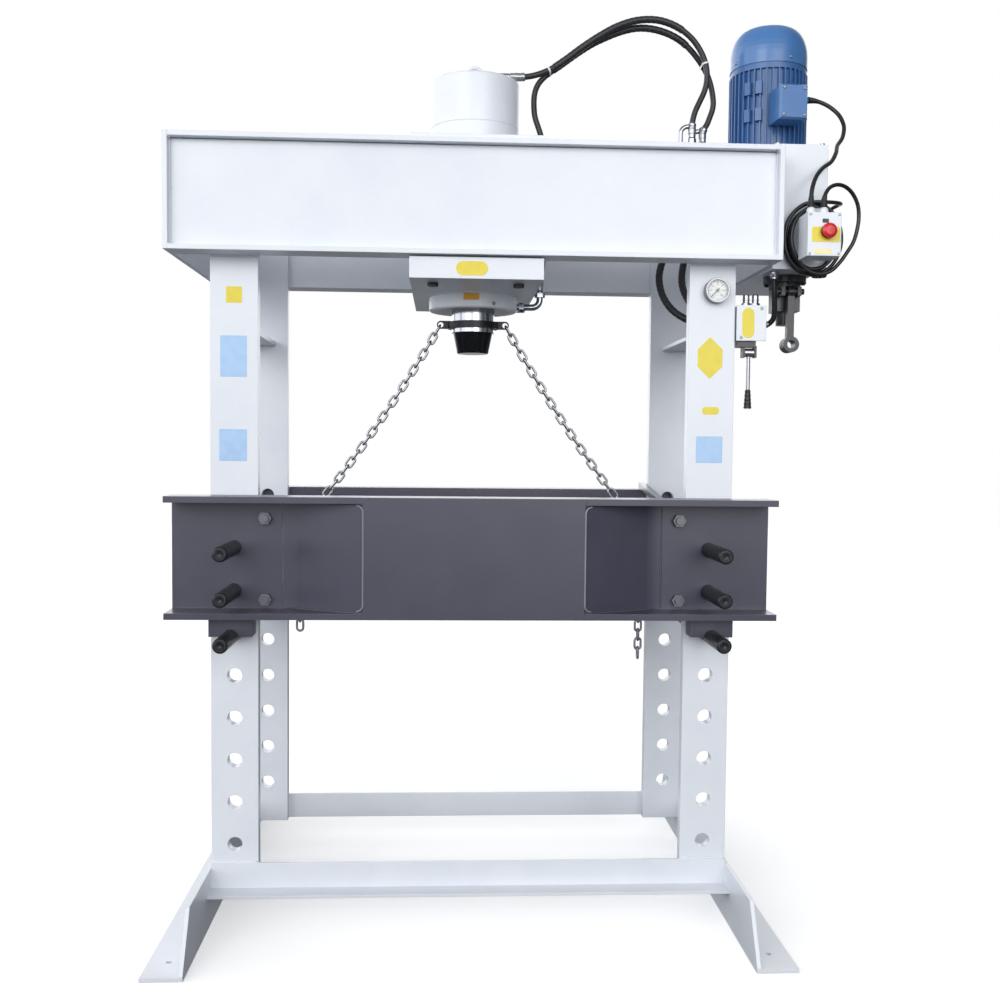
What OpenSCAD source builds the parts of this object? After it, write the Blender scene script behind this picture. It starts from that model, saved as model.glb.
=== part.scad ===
// Motorised hydraulic H-frame workshop press, drawn in millimetres.
// Origin on the floor at the middle of the frame, +Z up, the operator stands on the -Y side.

/* [Frame] */
// Clear width between the uprights
clear_w = 1100; // [900:10:1300]
// Width of each upright bar
upright_w = 120; // [100:5:150]
// Thickness of each upright bar
upright_t = 30; // [24:1:36]
// Depth over the front and rear uprights
frame_depth = 560; // [520:10:640]
// Height of the lowest pin hole above the floor
first_hole_z = 205; // [195:5:230]
// Pitch of the pin holes
hole_pitch = 110; // [100:5:120]
// Diameter of the pin holes
hole_d = 38; // [34:1:42]
// Width of each foot angle on the floor
foot_w = 100; // [80:5:120]
// Overall length of each foot angle
foot_len = 1200; // [1000:20:1400]
// Plate thickness of the feet
foot_t = 10; // [8:1:14]

/* [Head] */
// Height of the head beams' underside
head_z = 1713; // [1660:5:1760]
// Height of the head beams
head_h = 285; // [240:5:320]
// Overall length of the head
head_len = 1536; // [1460:4:1700]
// Depth of the head beams' flanges
head_flange = 80; // [60:2:100]
// Plate thickness of the head
head_t = 12; // [8:1:16]

/* [Table] */
// Height of the table's channel beams
table_h = 305; // [260:5:320]
// Overall length of the table
table_len = 1530; // [1440:10:1600]
// Depth of the table beams' flanges
table_flange = 100; // [80:2:120]
// Number of the hole that carries the table, counted from the lowest
table_hole = 5; // [4:1:5]
// Width of the flat middle of the cover plates
cover_w = 550; // [400:10:600]

/* [Cylinder and ram] */
// Outside diameter of the cylinder
cyl_d = 246; // [230:2:260]
// Bore of the cylinder
bore_d = 190; // [176:2:200]
// Diameter of the ram's rod
rod_d = 120; // [100:2:130]
// Width of the cylinder's carriage
carriage_w = 336; // [310:2:380]
// Travel of the ram
stroke = 300; // [200:10:320]

/* [Chains] */
// Wire diameter of the chain links
wire_d = 6.5; // [5:0.5:7]
// Number of links in each lifting chain
link_count = 22; // [20:1:22]

/* [Power unit] */
// Width of the oil tank
tank_w = 140; // [130:2:170]
// Depth of the oil tank
tank_depth = 500; // [440:10:520]
// Height of the oil tank
tank_h = 320; // [300:5:340]
// Diameter over the motor's fins
motor_d = 216; // [200:2:230]
// Length of the motor's finned body
motor_len = 260; // [240:5:300]
// Number of cooling fins
fin_count = 40; // [32:2:48]
// Width of the starter box
starter_w = 84; // [76:2:90]
// Diameter of the stop button
stop_d = 38; // [30:1:42]

/* [Hidden] */
$fn = 48;

WHITE = [0.88, 0.9, 0.92];
SLATE = [0.3, 0.3, 0.35];
BLACK = [0.08, 0.08, 0.09];
CHROME = [0.78, 0.8, 0.82];
ZINC = [0.62, 0.64, 0.66];
BLUE = [0.25, 0.45, 0.7];
RED = [0.8, 0.1, 0.1];
RUBBER = [0.1, 0.1, 0.11];

// Room between pieces that move past each other, and the overlap of cutting shapes
slip = 0.3;
eps = 1;

// Frame places
x_in = clear_w / 2;
x_up = x_in + upright_w / 2;
x_out = x_in + upright_w;
y_out = frame_depth / 2;
y_in = y_out - upright_t;
hole_count = 9;
hole_zs = [for (k = [0 : hole_count - 1]) first_hole_z + k * hole_pitch];
upright_bottom = 85;
foot_leg_h = 145;
foot_nose_h = 12;
foot_ramp = 75;
anchor_d = 14;
anchor_y = foot_len / 2 - 80;
stretcher_h = 73;
stretcher_w = 60;
stretcher_t = 8;
tie_plate_t = 10;
tie_plate_w = 85;

// Head places
head_top = head_z + head_h;
head_half = head_len / 2;
head_front = y_out + head_flange;
tie_plate_z = head_z - 178;
upright_top = head_top - 28;
pipe_shelf_t = 12;
pipe_r = 10;
pipe_spots = [[x_in + 50, -22], [x_in + 90, 22]];

// Table places
pin_d = hole_d - 2 * slip;
pin_zs = [for (k = [0 : 2]) hole_zs[table_hole + k]];
saddle_h = 49;
table_z = pin_zs[0] + saddle_h;
table_top = table_z + table_h;
table_half = table_len / 2;
table_web_t = 10;
table_flange_t = 16;
table_front = y_out + table_flange;
cover_t = 8;
cover_wing = 190;
pin_front = table_front + 90;
pin_rear = y_out + table_web_t + 10;
tie_x = x_in - 20;
tie_r = 10;
tie_zs = [table_z + 40, table_top - 58];
bar_x = 480;
bar_r = 5;
bar_z = table_z + 90;
cross_bar_len = 590;
cross_bar_s = 18;
cross_bar_turn = -2;
cross_bar_foot = y_out - 12;
cross_bar_seat = tie_zs[1] + tie_r + slip;
cross_bar_tilt = atan2(table_top + slip - cross_bar_seat, y_out + cross_bar_foot);

// Cylinder places, on the axis x = y = 0
plate_t = 12;
block_h = 53;
carriage_gap = 5;
block_top = head_z - carriage_gap;
block_z = block_top - block_h;
carriage_depth = head_front - 15;
cyl_z = block_z - 42;
cyl_rest = 327;
cyl_len = stroke + cyl_rest;
cyl_top = cyl_z + cyl_len;
gland_h = 60;
cap_t = 40;
seam_drop = 130;
top_port_x = 48;
port_r = 7;
port_bend = 22;
bore_top = cyl_top - cap_t;
port_z = cyl_z + 16;
bolt_x = carriage_w / 2 - 58;
bolt_r = 8;
bolt_head = 10;
bolt_across = 24;
bolt_y = y_out - 14;
rod_show = 29;
collar_h = 18;
collar_top = cyl_z - rod_show;
collar_z = collar_top - collar_h;
collar_d = rod_d + 22;
ring_h = 12;
rod_z = collar_z - ring_h;
nose_h = 57;
nose_z = rod_z - nose_h;
nose_d = rod_d - 8;
lug_x = 90;
lug_t = 9;
lug_r = 11;
lug_z = collar_z + lug_r;
lug_hole_r = 7.5;
piston_h = 40;
piston_top = bore_top - 3;
spigot_r = 30;
spigot_len = 36;

// Chain places: a shallow sag between the collar's lugs and the table
link_inner = 26.3;
link_pitch = link_inner - slip;
link_w = 24;
chain_len = link_count * link_pitch;
chain_sag = 10;
chain_turn = 56.3;
chain_way = [cos(chain_turn), -sin(chain_turn)];
link_bend = (link_w - wire_d) / 2;
lug_dip = link_bend - sqrt(pow(link_bend, 2) - pow(lug_t / 2 + slip, 2));
chain_lead = lug_hole_r - 2 * slip - lug_dip + (link_inner - link_pitch) / 2;
chain_top = [lug_x, lug_z] + chain_lead * chain_way;
chain_run = chain_way * chain_len;
chain_drop = [-sin(chain_turn), -cos(chain_turn)] * 4 * chain_sag;

// Power unit places
tank_x = head_half;
tank_cx = tank_x + tank_w / 2;
tank_top = head_top + 27;
tank_z = tank_top - tank_h;
tank_front = -270;
tank_wall = 4;
motor_x = tank_cx - 8;
motor_y = 20;
motor_r = motor_d / 2;
motor_z = tank_top + 14;
fin_h = 10;
cowl_z = motor_z + motor_len;
cowl_h = 112;
cowl_wall = 3;
cowl_straight = 34;
cowl_eye = 60;
pad_angles = [-136, -119];
pad_zs = [motor_z + 101, motor_z + 174];
pad_w = 17;
pad_h = 34;
shaft_r = 14;
fan_z = cowl_z + 22;
term_w = 74;
term_h = 87;
term_d = 70;
term_lid = 8;
term_turn = 6;
term_y = -motor_r - term_d;
term_z = motor_z + 85;
term_gland_y = term_y + 32;
term_gland_z = 60;
gland_r = 11;
gland_len = 18;

// Starter box places
starter_h = 107;
starter_d = 70;
starter_x = tank_cx + 20;
starter_front = tank_front - 130;
starter_back = starter_front + starter_d;
starter_z = tank_z + 13;
starter_top = starter_z + starter_h;
bracket_t = 20;
bracket_top = starter_z + 131;
motor_gland_x = starter_x - starter_w / 2 + 17;
mains_gland_x = starter_x + starter_w / 2 - 34;
gland_y = starter_front + 32;
stop_x = starter_x + 8;
stop_z = starter_z + 60;
stop_h = 14;

// Mains lead places: turns hung on the bracket, and the plug beside the tank
lead_r = 5;
coil_w = 178;
coil_h = 212;
coil_ring = 34;
coil_d = 40;
coil_x = tank_cx + 25;
coil_y = tank_front - 30;
coil_r = coil_w / 2;
coil_inner = coil_r - coil_ring;
coil_seat = coil_inner - sqrt(pow(coil_inner, 2) - pow(bracket_t / 2, 2));
coil_z = bracket_top + coil_seat + coil_ring - coil_h / 2;
coil_straight = coil_h - coil_w;
plug_r = 21;
plug_len = 95;
plug_x = tank_x + tank_w + plug_r + 6;
plug_y = tank_front + 130;
plug_top = tank_z + plug_len;

// Valve places on the outer side of the right front upright
valve_w = 72;
valve_h = 82;
valve_d = 50;
valve_z = head_z - 191;
valve_front = -y_out - 5;
valve_x = x_out;
cover_plate_w = 77;
cover_plate_h = 91;
lever_x = valve_x + 41;
lever_y = valve_front + 20;
lever_z = valve_z - 34;
lever_len = 145;
lever_r = 5;
grip_r = 9;
grip_top_r = 6;
grip_len = 48;
cheek_t = 6;
boss_w = 24;
boss_r = 11;

// Gauge on the front of the right front upright
gauge_x = x_up + 8;
gauge_z = head_z - 70;
gauge_r = 32;
gauge_t = 26;
needle_rest = 135;

// Hand pump under the tank
pump_x = tank_cx + 6;
pump_y = -130;
pump_flange_r = 57;
pump_flange_t = 18;
arm_z = tank_z - 45;
arm_y = pump_y - 52;
arm_len = 142;
arm_t = 18;
eye_r = 21;
eye_bore = 11;
arm_pin_r = 8;

// Hose routes as points of their centre lines, each end straight out of its fitting
hose_r = 8;
elbow_z = head_top + 100;
elbow_shift = 6;
pipe_bottom = head_top - 60;
top_port = [95, -8, cyl_top + 22];
advance_route = [
    top_port + [slip, 0, 0], top_port + [35, 0, 0], [169, -8, cyl_top + 29], [210, -8, cyl_top + 46],
    [251, -9, cyl_top + 73], [294, -11, cyl_top + 105], [342, -13, cyl_top + 137], [394, -13, cyl_top + 166],
    [450, -13, cyl_top + 184], [507, -13, cyl_top + 186], [560, -14, cyl_top + 169], [602, -15, cyl_top + 138],
    [630, -16, cyl_top + 99], [644, -17, cyl_top + 60], [646, -18, cyl_top + 24], [639, -19, cyl_top - 8],
    [626, -20, cyl_top - 37], [613, -21, cyl_top - 67],
    [pipe_spots[0][0] + elbow_shift, pipe_spots[0][1], elbow_z + 42],
    [pipe_spots[0][0] + elbow_shift, pipe_spots[0][1], elbow_z + 2 + slip]
];
side_port = [cyl_d / 2 + 64, 0, port_z + 44];
return_route = [
    side_port + [0, 0, slip], side_port + [0, 0, 30], [196, 0, port_z + 150], [200, 0, port_z + 330],
    [188, 0, cyl_top - 150], [166, 2, cyl_top - 70], [176, 9, cyl_top + 8], [245, 11, cyl_top + 68],
    [345, 11, cyl_top + 134], [460, 11, cyl_top + 172], [568, 12, cyl_top + 146], [646, 16, cyl_top + 66],
    [674, 20, cyl_top - 20], [662, 22, cyl_top - 76],
    [pipe_spots[1][0] + elbow_shift, pipe_spots[1][1], elbow_z + 34],
    [pipe_spots[1][0] + elbow_shift, pipe_spots[1][1], elbow_z + 2 + slip]
];
valve_ports = [for (i = [0, 1]) [valve_x + 20 + 28 * i, valve_front + valve_d, head_z - 140]];
lower_routes = [
    [
        [pipe_spots[0][0], pipe_spots[0][1], pipe_bottom - slip], [pipe_spots[0][0], pipe_spots[0][1], pipe_bottom - 32],
        [593, -20, head_z + 158], [576, -17, head_z + 122], [551, -15, head_z + 87], [529, -19, head_z + 46],
        [519, -29, head_z - 2], [527, -45, head_z - 52], [555, -64, head_z - 96], [600, -86, head_z - 125],
        [648, -118, head_z - 136], [679, -161, head_z - 139], valve_ports[0] + [0, 33, 0], valve_ports[0] + [0, slip, 0]
    ],
    [
        [pipe_spots[1][0], pipe_spots[1][1], pipe_bottom - slip], [pipe_spots[1][0], pipe_spots[1][1], pipe_bottom - 24],
        [626, 20, head_z + 137], [596, 12, head_z + 47], [590, -10, head_z - 23], [612, -54, head_z - 81],
        [656, -106, head_z - 115], [700, -150, head_z - 132], valve_ports[1] + [0, 36, 0], valve_ports[1] + [0, slip, 0]
    ]
];
tank_pipe_r = 7;
tank_pipe_route = [
    [valve_x + valve_w + slip, valve_front + 24, valve_z + 40], [valve_x + valve_w + 18, valve_front + 24, valve_z + 40],
    [tank_x + 12, valve_front + 34, valve_z + 62], [tank_x + 18, valve_front + 54, valve_z + 120],
    [tank_x + 18, valve_front + 60, tank_z - 20], [tank_x + 18, valve_front + 60, tank_z - slip]
];
cable_r = 5.5;
term_way = [cos(term_turn), sin(term_turn), 0];
cable_start = [motor_x, motor_y, term_z + term_gland_z] + (term_w / 2 + gland_len) * term_way
    - term_gland_y * [sin(term_turn), -cos(term_turn), 0];
motor_route = [
    cable_start + slip * term_way, cable_start + 17 * term_way, [tank_cx + 100, -118, tank_top + 154],
    [tank_cx + 124, -123, tank_top + 140], [tank_cx + 144, -136, tank_top + 115],
    [tank_cx + 150, -156, tank_top + 81], [tank_cx + 137, -183, tank_top + 44], [tank_cx + 112, -217, tank_top + 13],
    [tank_cx + 94, -258, tank_top - 17], [tank_cx + 70, -293, tank_top - 49], [tank_cx + 38, -324, tank_top - 73],
    [tank_cx + 13, -349, tank_top - 101], [tank_cx - 1, -363, tank_top - 133],
    [motor_gland_x, gland_y, starter_top + 39], [motor_gland_x, gland_y, starter_top + gland_len + slip]
];
lead_start = [mains_gland_x, gland_y, starter_top];
lead_route = [for (p = [
    [0, 0, gland_len + slip], [0, 0, 36], [6, 4, 56], [20, 11, 72], [41, 20, 80], [65, 30, 77], [87, 39, 62],
    [103, 46, 36], [108, 50, 5], [104, 50, -27], [95, 49, -57], [80, 51, -83], [63, 53, -107]
]) lead_start + p];
tail_start = [coil_x, coil_y, bracket_top];
plug_end = [plug_x, plug_y, plug_top];
plug_route = concat(
    [for (p = [[9, 0, 23], [31, 0, 23], [54, 7, 24], [74, 23, 26], [87, 47, 29], [90, 77, 32], [84, 108, 29]])
        tail_start + p],
    [for (p = [[5, -26, 65], [1, -8, 44], [0, 0, 20], [0, 0, slip]]) plug_end + p]
);

// A smooth curve through the points of a route, and the frame of its sweep
function spline(p, i, t) =
    let (a = p[max(i - 1, 0)], b = p[i], c = p[i + 1], d = p[min(i + 2, len(p) - 1)])
    0.5 * (2 * b + (c - a) * t + (2 * a - 5 * b + 4 * c - d) * t * t + (3 * b - a - 3 * c + d) * t * t * t);
function unit(v) = v / norm(v);
function curve(p, n) = concat(
    [for (i = [0 : len(p) - 2]) for (k = [0 : n - 1]) spline(p, i, k / n)], [p[len(p) - 1]]);
function side_of(v) = abs(v[1]) > 0.9 ? [1, 0, 0] : [0, 1, 0];
function ring_at(c, v, r, sides) =
    let (u = unit(cross(v, side_of(v))), w = cross(v, u))
    [for (k = [0 : sides - 1]) c + r * (cos(360 * k / sides) * u + sin(360 * k / sides) * w)];

// A round tube swept along a route, with flat ends square to its first and last stretch
module tube(route, r, n = 3, sides = 10) {
    p = curve(route, n);
    m = len(p);
    last = len(route) - 1;
    dirs = [for (i = [0 : m - 1]) i == 0 ? unit(route[1] - route[0])
        : i == m - 1 ? unit(route[last] - route[last - 1]) : unit(p[i + 1] - p[i - 1])];
    points = [for (i = [0 : m - 1]) each ring_at(p[i], dirs[i], r, sides)];
    walls = [for (i = [0 : m - 2]) for (k = [0 : sides - 1])
        let (a = i * sides + k, b = i * sides + (k + 1) % sides) each [[a, b, b + sides], [a, b + sides, a + sides]]];
    start = [for (k = [sides - 1 : -1 : 0]) k];
    finish = [for (k = [0 : sides - 1]) (m - 1) * sides + k];
    polyhedron(points, concat([start], walls, [finish]));
}

// A profile in Y and Z drawn along X from x0 over a length
module along_x(x0, length) {
    translate([x0, 0, 0]) rotate([90, 0, 90]) linear_extrude(length) children();
}

// A round bar or bore along one axis
module rod_x(x0, length, r) { translate([x0, 0, 0]) rotate([0, 90, 0]) cylinder(h = length, r = r); }
module rod_y(y0, length, r) { translate([0, y0, 0]) rotate([-90, 0, 0]) cylinder(h = length, r = r); }

// A hexagon head or nut along Y or Z
module hex_y(y0, length, across) { translate([0, y0, 0]) rotate([-90, 0, 0]) cylinder(h = length, d = across / cos(30), $fn = 6); }
module hex_z(z0, length, across) { translate([0, 0, z0]) cylinder(h = length, d = across / cos(30), $fn = 6); }

// One upright bar with its row of pin holes, at side sx and depth sy
module upright(sx, sy) {
    color(WHITE) difference() {
        translate([sx * x_up - upright_w / 2, sy > 0 ? y_in : -y_out, upright_bottom])
            cube([upright_w, upright_t, upright_top - upright_bottom]);
        for (z = hole_zs) translate([sx * x_up, 0, z])
            rod_y(sy > 0 ? y_in - eps : -y_out - eps, upright_t + 2 * eps, hole_d / 2);
    }
}
module left_front_upright() { upright(-1, -1); }
module right_front_upright() { upright(1, -1); }
module left_rear_upright() { upright(-1, 1); }
module right_rear_upright() { upright(1, 1); }

// A head beam: a web on the uprights' outer faces with both flanges turned outward
module head_beam() {
    along_x(-head_half + head_t, head_len - 2 * head_t) polygon([
        [-y_out, head_z], [-head_front, head_z], [-head_front, head_z + head_t],
        [-y_out - head_t, head_z + head_t], [-y_out - head_t, head_top - head_t],
        [-head_front, head_top - head_t], [-head_front, head_top], [-y_out, head_top]
    ]);
}
module head_front_beam() { color(WHITE) head_beam(); }
module head_rear_beam() { color(WHITE) mirror([0, 1, 0]) head_beam(); }

// The end plates that close the head, with the shelf for the pipe elbows on the right one
module head_end_plates() {
    color(WHITE) {
        translate([-head_half, -head_front, head_z]) cube([head_t, 2 * head_front, head_h]);
        difference() {
            union() {
                translate([head_half - head_t, -head_front, head_z]) cube([head_t, 2 * head_front, head_h]);
                translate([x_in + 20, -55, head_top - 30]) cube([head_half - head_t - x_in - 20, 110, pipe_shelf_t]);
            }
            for (p = pipe_spots) translate([p[0], p[1], head_top - 30 - eps])
                cylinder(h = pipe_shelf_t + 2 * eps, r = pipe_r);
        }
    }
}

// Plates that tie each front upright to the rear one
module upright_tie_plates() {
    color(WHITE) for (s = [-1, 1])
        translate([s > 0 ? x_out - tie_plate_w : -x_out, -y_in, tie_plate_z]) cube([tie_plate_w, 2 * y_in, tie_plate_t]);
}

// A foot angle: a flat leg on the floor and an upright leg with ramped ends
module foot() {
    half = foot_len / 2;
    difference() {
        union() {
            translate([x_out, -half, 0]) cube([foot_w, foot_len, foot_t]);
            along_x(x_out, foot_t) polygon([
                [-half, 0], [half, 0], [half, foot_nose_h], [half - foot_ramp, foot_leg_h],
                [-half + foot_ramp, foot_leg_h], [-half, foot_nose_h]
            ]);
        }
        for (y = [-anchor_y, anchor_y]) translate([x_out + foot_w / 2, y, -eps])
            cylinder(h = foot_t + 2 * eps, d = anchor_d);
    }
}
module right_foot() { color(WHITE) foot(); }
module left_foot() { color(WHITE) mirror([1, 0, 0]) foot(); }

// Angle stretchers across the bottom of the uprights
module stretcher() {
    along_x(-x_out, 2 * x_out) polygon([
        [-y_out, upright_bottom], [-y_out - stretcher_w, upright_bottom],
        [-y_out - stretcher_w, upright_bottom + stretcher_t], [-y_out - stretcher_t, upright_bottom + stretcher_t],
        [-y_out - stretcher_t, upright_bottom + stretcher_h], [-y_out, upright_bottom + stretcher_h]
    ]);
}
module stretchers() {
    color(WHITE) for (m = [0, 1]) mirror([0, m, 0]) stretcher();
}

// A table beam: a rolled channel with its saddle blocks, bored for the pins and tie bolts
module table_beam() {
    difference() {
        union() {
            along_x(-table_half, table_len) polygon([
                [-y_out, table_z], [-table_front, table_z], [-table_front, table_z + table_flange_t],
                [-y_out - table_web_t, table_z + table_flange_t], [-y_out - table_web_t, table_top - table_flange_t],
                [-table_front, table_top - table_flange_t], [-table_front, table_top], [-y_out, table_top]
            ]);
            for (s = [-1, 1]) translate([s * x_up - upright_w / 2 + 6, -y_out - 60, pin_zs[0]])
                cube([upright_w - 12, 60, saddle_h]);
        }
        for (s = [-1, 1]) {
            for (z = pin_zs) translate([s * x_up, 0, z]) rod_y(-table_front - eps, table_flange + 2 * eps, hole_d / 2);
            for (z = tie_zs) translate([s * tie_x, 0, z]) rod_y(-y_out - table_web_t - eps, table_web_t + 2 * eps, tie_r);
        }
    }
}
module front_table_beam() { color(SLATE) table_beam(); }
module rear_table_beam() { color(SLATE) mirror([0, 1, 0]) table_beam(); }

// A folded cover over the middle of a table beam, its wings bent back to the web
module table_cover() {
    half = cover_w / 2;
    web = y_out + table_web_t;
    color(SLATE) translate([0, 0, table_z + table_flange_t]) linear_extrude(table_h - 2 * table_flange_t) polygon([
        [-half - cover_wing, -web], [-half, -table_front], [half, -table_front], [half + cover_wing, -web],
        [half + cover_wing - 2 * cover_t, -web], [half - 2, -table_front + cover_t],
        [-half + 2, -table_front + cover_t], [-half - cover_wing + 2 * cover_t, -web]
    ]);
}
module front_table_cover() { table_cover(); }
module rear_table_cover() { mirror([0, 1, 0]) table_cover(); }

// Tie rods with nuts that hold the two beams together, and round bars for the chains' spare ends
module table_cross_rods() {
    reach = y_out + table_web_t;
    color(SLATE) for (s = [-1, 1]) {
        for (z = tie_zs) translate([s * tie_x, 0, z]) union() {
            rod_y(-reach - 24, 2 * reach + 48, tie_r);
            hex_y(-reach - 16, 16, 30);
            hex_y(reach, 16, 30);
        }
        translate([s * bar_x, 0, bar_z]) rod_y(-y_out, 2 * y_out, bar_r);
    }
}

// One chain link along X, lying in the plane of X and Y
module link() {
    straight = (link_inner + wire_d) / 2 - link_bend;
    for (s = [-1, 1]) {
        translate([s * straight, 0, 0]) rotate([0, 0, s > 0 ? -90 : 90])
            rotate_extrude(angle = 180, $fn = 24) translate([link_bend, 0]) circle(d = wire_d, $fn = 16);
        translate([-straight, s * link_bend, 0]) rotate([0, 90, 0]) cylinder(h = 2 * straight, d = wire_d, $fn = 16);
    }
}

// Spare chain hung over each bar
module chain_tails() {
    color(ZINC) for (t = [[-1, 7], [1, 10]]) for (k = [0 : t[1] - 1])
        translate([t[0] * bar_x, 0, bar_z + bar_r + slip - link_inner / 2 - k * link_pitch])
            rotate([0, 90, 0]) rotate([k % 2 == 0 ? 0 : 90, 0, 0]) rotate([90, 0, 0]) link();
}

// A loose square bar that leans from the top of the rear beam down onto a tie rod
module table_cross_bar() {
    color(BLACK) translate([tie_x, 0, 0]) rotate([0, 0, cross_bar_turn]) translate([0, -cross_bar_foot, cross_bar_seat])
        rotate([cross_bar_tilt, 0, 0]) translate([-cross_bar_s / 2, 0, 0]) cube([cross_bar_s, cross_bar_len, cross_bar_s]);
}

// A table pin with its rounded front end
module pin(sx, k) {
    r = pin_d / 2;
    color(BLACK) translate([sx * x_up, 0, pin_zs[k]]) rotate([-90, 0, 0]) translate([0, 0, -pin_front])
        rotate_extrude() polygon([[0, 0], [r - 3, 0], [r, 3], [r, pin_front + pin_rear - 3], [r - 3, pin_front + pin_rear],
            [0, pin_front + pin_rear]]);
}
module left_lower_pin() { pin(-1, 0); }
module left_middle_pin() { pin(-1, 1); }
module left_upper_pin() { pin(-1, 2); }
module right_lower_pin() { pin(1, 0); }
module right_middle_pin() { pin(1, 1); }
module right_upper_pin() { pin(1, 2); }

// The carriage: a plate that runs on top of the head and a heavy plate under it
module carriage_plate(z, h) {
    difference() {
        translate([-carriage_w / 2, -carriage_depth, z]) cube([carriage_w, 2 * carriage_depth, h]);
        translate([0, 0, z - eps]) cylinder(h = h + 2 * eps, d = cyl_d);
        for (x = [-bolt_x, bolt_x]) for (y = [-bolt_y, bolt_y]) translate([x, y, z - eps])
            cylinder(h = h + 2 * eps, r = bolt_r);
    }
}
module carriage_top_plate() { color(WHITE) carriage_plate(head_top + slip, plate_t); }
module carriage_bottom_plate() { color(WHITE) carriage_plate(block_z, block_h); }
module carriage_bolts() {
    top = head_top + slip + plate_t;
    color(BLACK) for (x = [-bolt_x, bolt_x]) for (y = [-bolt_y, bolt_y]) translate([x, y, 0]) union() {
        translate([0, 0, block_z - bolt_head / 2]) cylinder(h = top - block_z + bolt_head, r = bolt_r);
        hex_z(block_z - bolt_head, bolt_head, bolt_across);
        hex_z(top, bolt_head, bolt_across);
    }
}

// The cylinder: a closed tube with a weld seam and its oil ports
module cylinder_body() {
    color(WHITE) difference() {
        translate([0, 0, cyl_z]) rotate_extrude($fn = 96) polygon([
            [0, cyl_len], [cyl_d / 2 - 4, cyl_len], [cyl_d / 2, cyl_len - 4], [cyl_d / 2, cyl_len - seam_drop + 2],
            [cyl_d / 2 - 1.5, cyl_len - seam_drop], [cyl_d / 2, cyl_len - seam_drop - 2], [cyl_d / 2, 4], [cyl_d / 2 - 4, 0],
            [bore_d / 2 + 6, 0], [bore_d / 2 + 6, gland_h], [bore_d / 2, gland_h],
            [bore_d / 2, cyl_len - cap_t], [0, cyl_len - cap_t]
        ]);
        translate([top_port_x, 0, bore_top - eps]) cylinder(h = cap_t + 2 * eps, r = port_r);
        translate([0, 0, port_z]) rod_x(bore_d / 2 + 2, cyl_d / 2 - bore_d / 2, port_r);
    }
}

// The ring screwed into the cylinder's mouth that guides the rod
module cylinder_gland() {
    color(ZINC) translate([0, 0, cyl_z]) rotate_extrude($fn = 96) polygon([
        [rod_d / 2 + slip, 0], [bore_d / 2 + 6, 0], [bore_d / 2 + 6, gland_h], [rod_d / 2 + slip, gland_h]
    ]);
}

// Lifting eye on top of the cylinder
module lifting_eye() {
    color(ZINC) translate([0, 0, cyl_top]) {
        cylinder(h = 8, r = 16);
        translate([0, 0, 26]) rotate([90, 0, 0]) rotate_extrude() translate([20, 0]) circle(r = 5, $fn = 20);
    }
}

// Elbows screwed into the cylinder's two ports
module cylinder_fittings() {
    color(CHROME) {
        translate([top_port_x, 0, cyl_top]) {
            hex_z(0, 12, 26);
            translate([0, 0, 12]) cylinder(h = 20, r = 10);
        }
        translate([top_port_x, top_port[1], top_port[2]]) rod_x(0, top_port[0] - top_port_x, 9);
        translate([cyl_d / 2, 0, port_z]) {
            rod_x(0, side_port[0] - cyl_d / 2 - port_bend, 9);
            translate([6, 0, 0]) rotate([0, 90, 0]) cylinder(h = 12, d = 26, $fn = 6);
        }
        translate([side_port[0] - port_bend, 0, port_z + port_bend]) rotate([90, 0, 0]) rotate([0, 0, -90])
            rotate_extrude(angle = 90) translate([port_bend, 0]) circle(r = 9);
        translate([side_port[0], 0, port_z + port_bend]) cylinder(h = side_port[2] - port_z - port_bend, r = 9);
        translate([side_port[0], 0, 0]) hex_z(side_port[2] - 16, 12, 26);
    }
}

// Ram: the rod with its piston, the chain collar and the pressing nose
module ram_rod() {
    color(CHROME) rotate_extrude($fn = 96) polygon([
        [0, rod_z - spigot_len], [spigot_r, rod_z - spigot_len], [spigot_r, rod_z], [rod_d / 2, rod_z],
        [rod_d / 2, piston_top - piston_h], [bore_d / 2 - slip, piston_top - piston_h],
        [bore_d / 2 - slip, piston_top], [0, piston_top]
    ]);
}
module chain_collar() {
    color(BLACK) difference() {
        union() {
            translate([0, 0, collar_z]) cylinder(h = collar_h, d = collar_d, $fn = 64);
            for (s = [-1, 1]) {
                translate([s > 0 ? collar_d / 2 - 12 : -lug_x, -lug_t / 2, collar_z]) cube([lug_x - collar_d / 2 + 12, lug_t, 2 * lug_r]);
                translate([s * lug_x, 0, lug_z]) rod_y(-lug_t / 2, lug_t, lug_r);
            }
        }
        translate([0, 0, collar_z - eps]) cylinder(h = 2 * lug_r + 2 * eps, d = rod_d, $fn = 96);
        for (s = [-1, 1]) translate([s * lug_x, 0, lug_z]) rod_y(-lug_t, 2 * lug_t, lug_hole_r);
    }
}
module ram_nose() {
    r = nose_d / 2;
    color(BLACK) translate([0, 0, nose_z]) rotate_extrude($fn = 96) polygon([
        [0, 0], [r - 14, 0], [r - 11, 4], [r, nose_h], [spigot_r, nose_h], [spigot_r, nose_h - spigot_len],
        [0, nose_h - spigot_len]
    ]);
}

// A lifting chain at side s: links strung along a shallow sag, each turned a quarter from the last
function chain_at(t) = chain_top + t * chain_run + t * (1 - t) * chain_drop;
function chain_slope(t) = chain_run + (1 - 2 * t) * chain_drop;
module chain(s) {
    color(ZINC) for (k = [0 : link_count - 1]) {
        t = (k + 0.5) / link_count;
        c = chain_at(t);
        v = chain_slope(t);
        mirror([s > 0 ? 0 : 1, 0, 0]) translate([c[0], 0, c[1]]) rotate([0, atan2(-v[1], v[0]), 0])
            rotate([k % 2 == 0 ? 0 : 90, 0, 0]) link();
    }
}
module left_chain() { chain(-1); }
module right_chain() { chain(1); }

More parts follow.
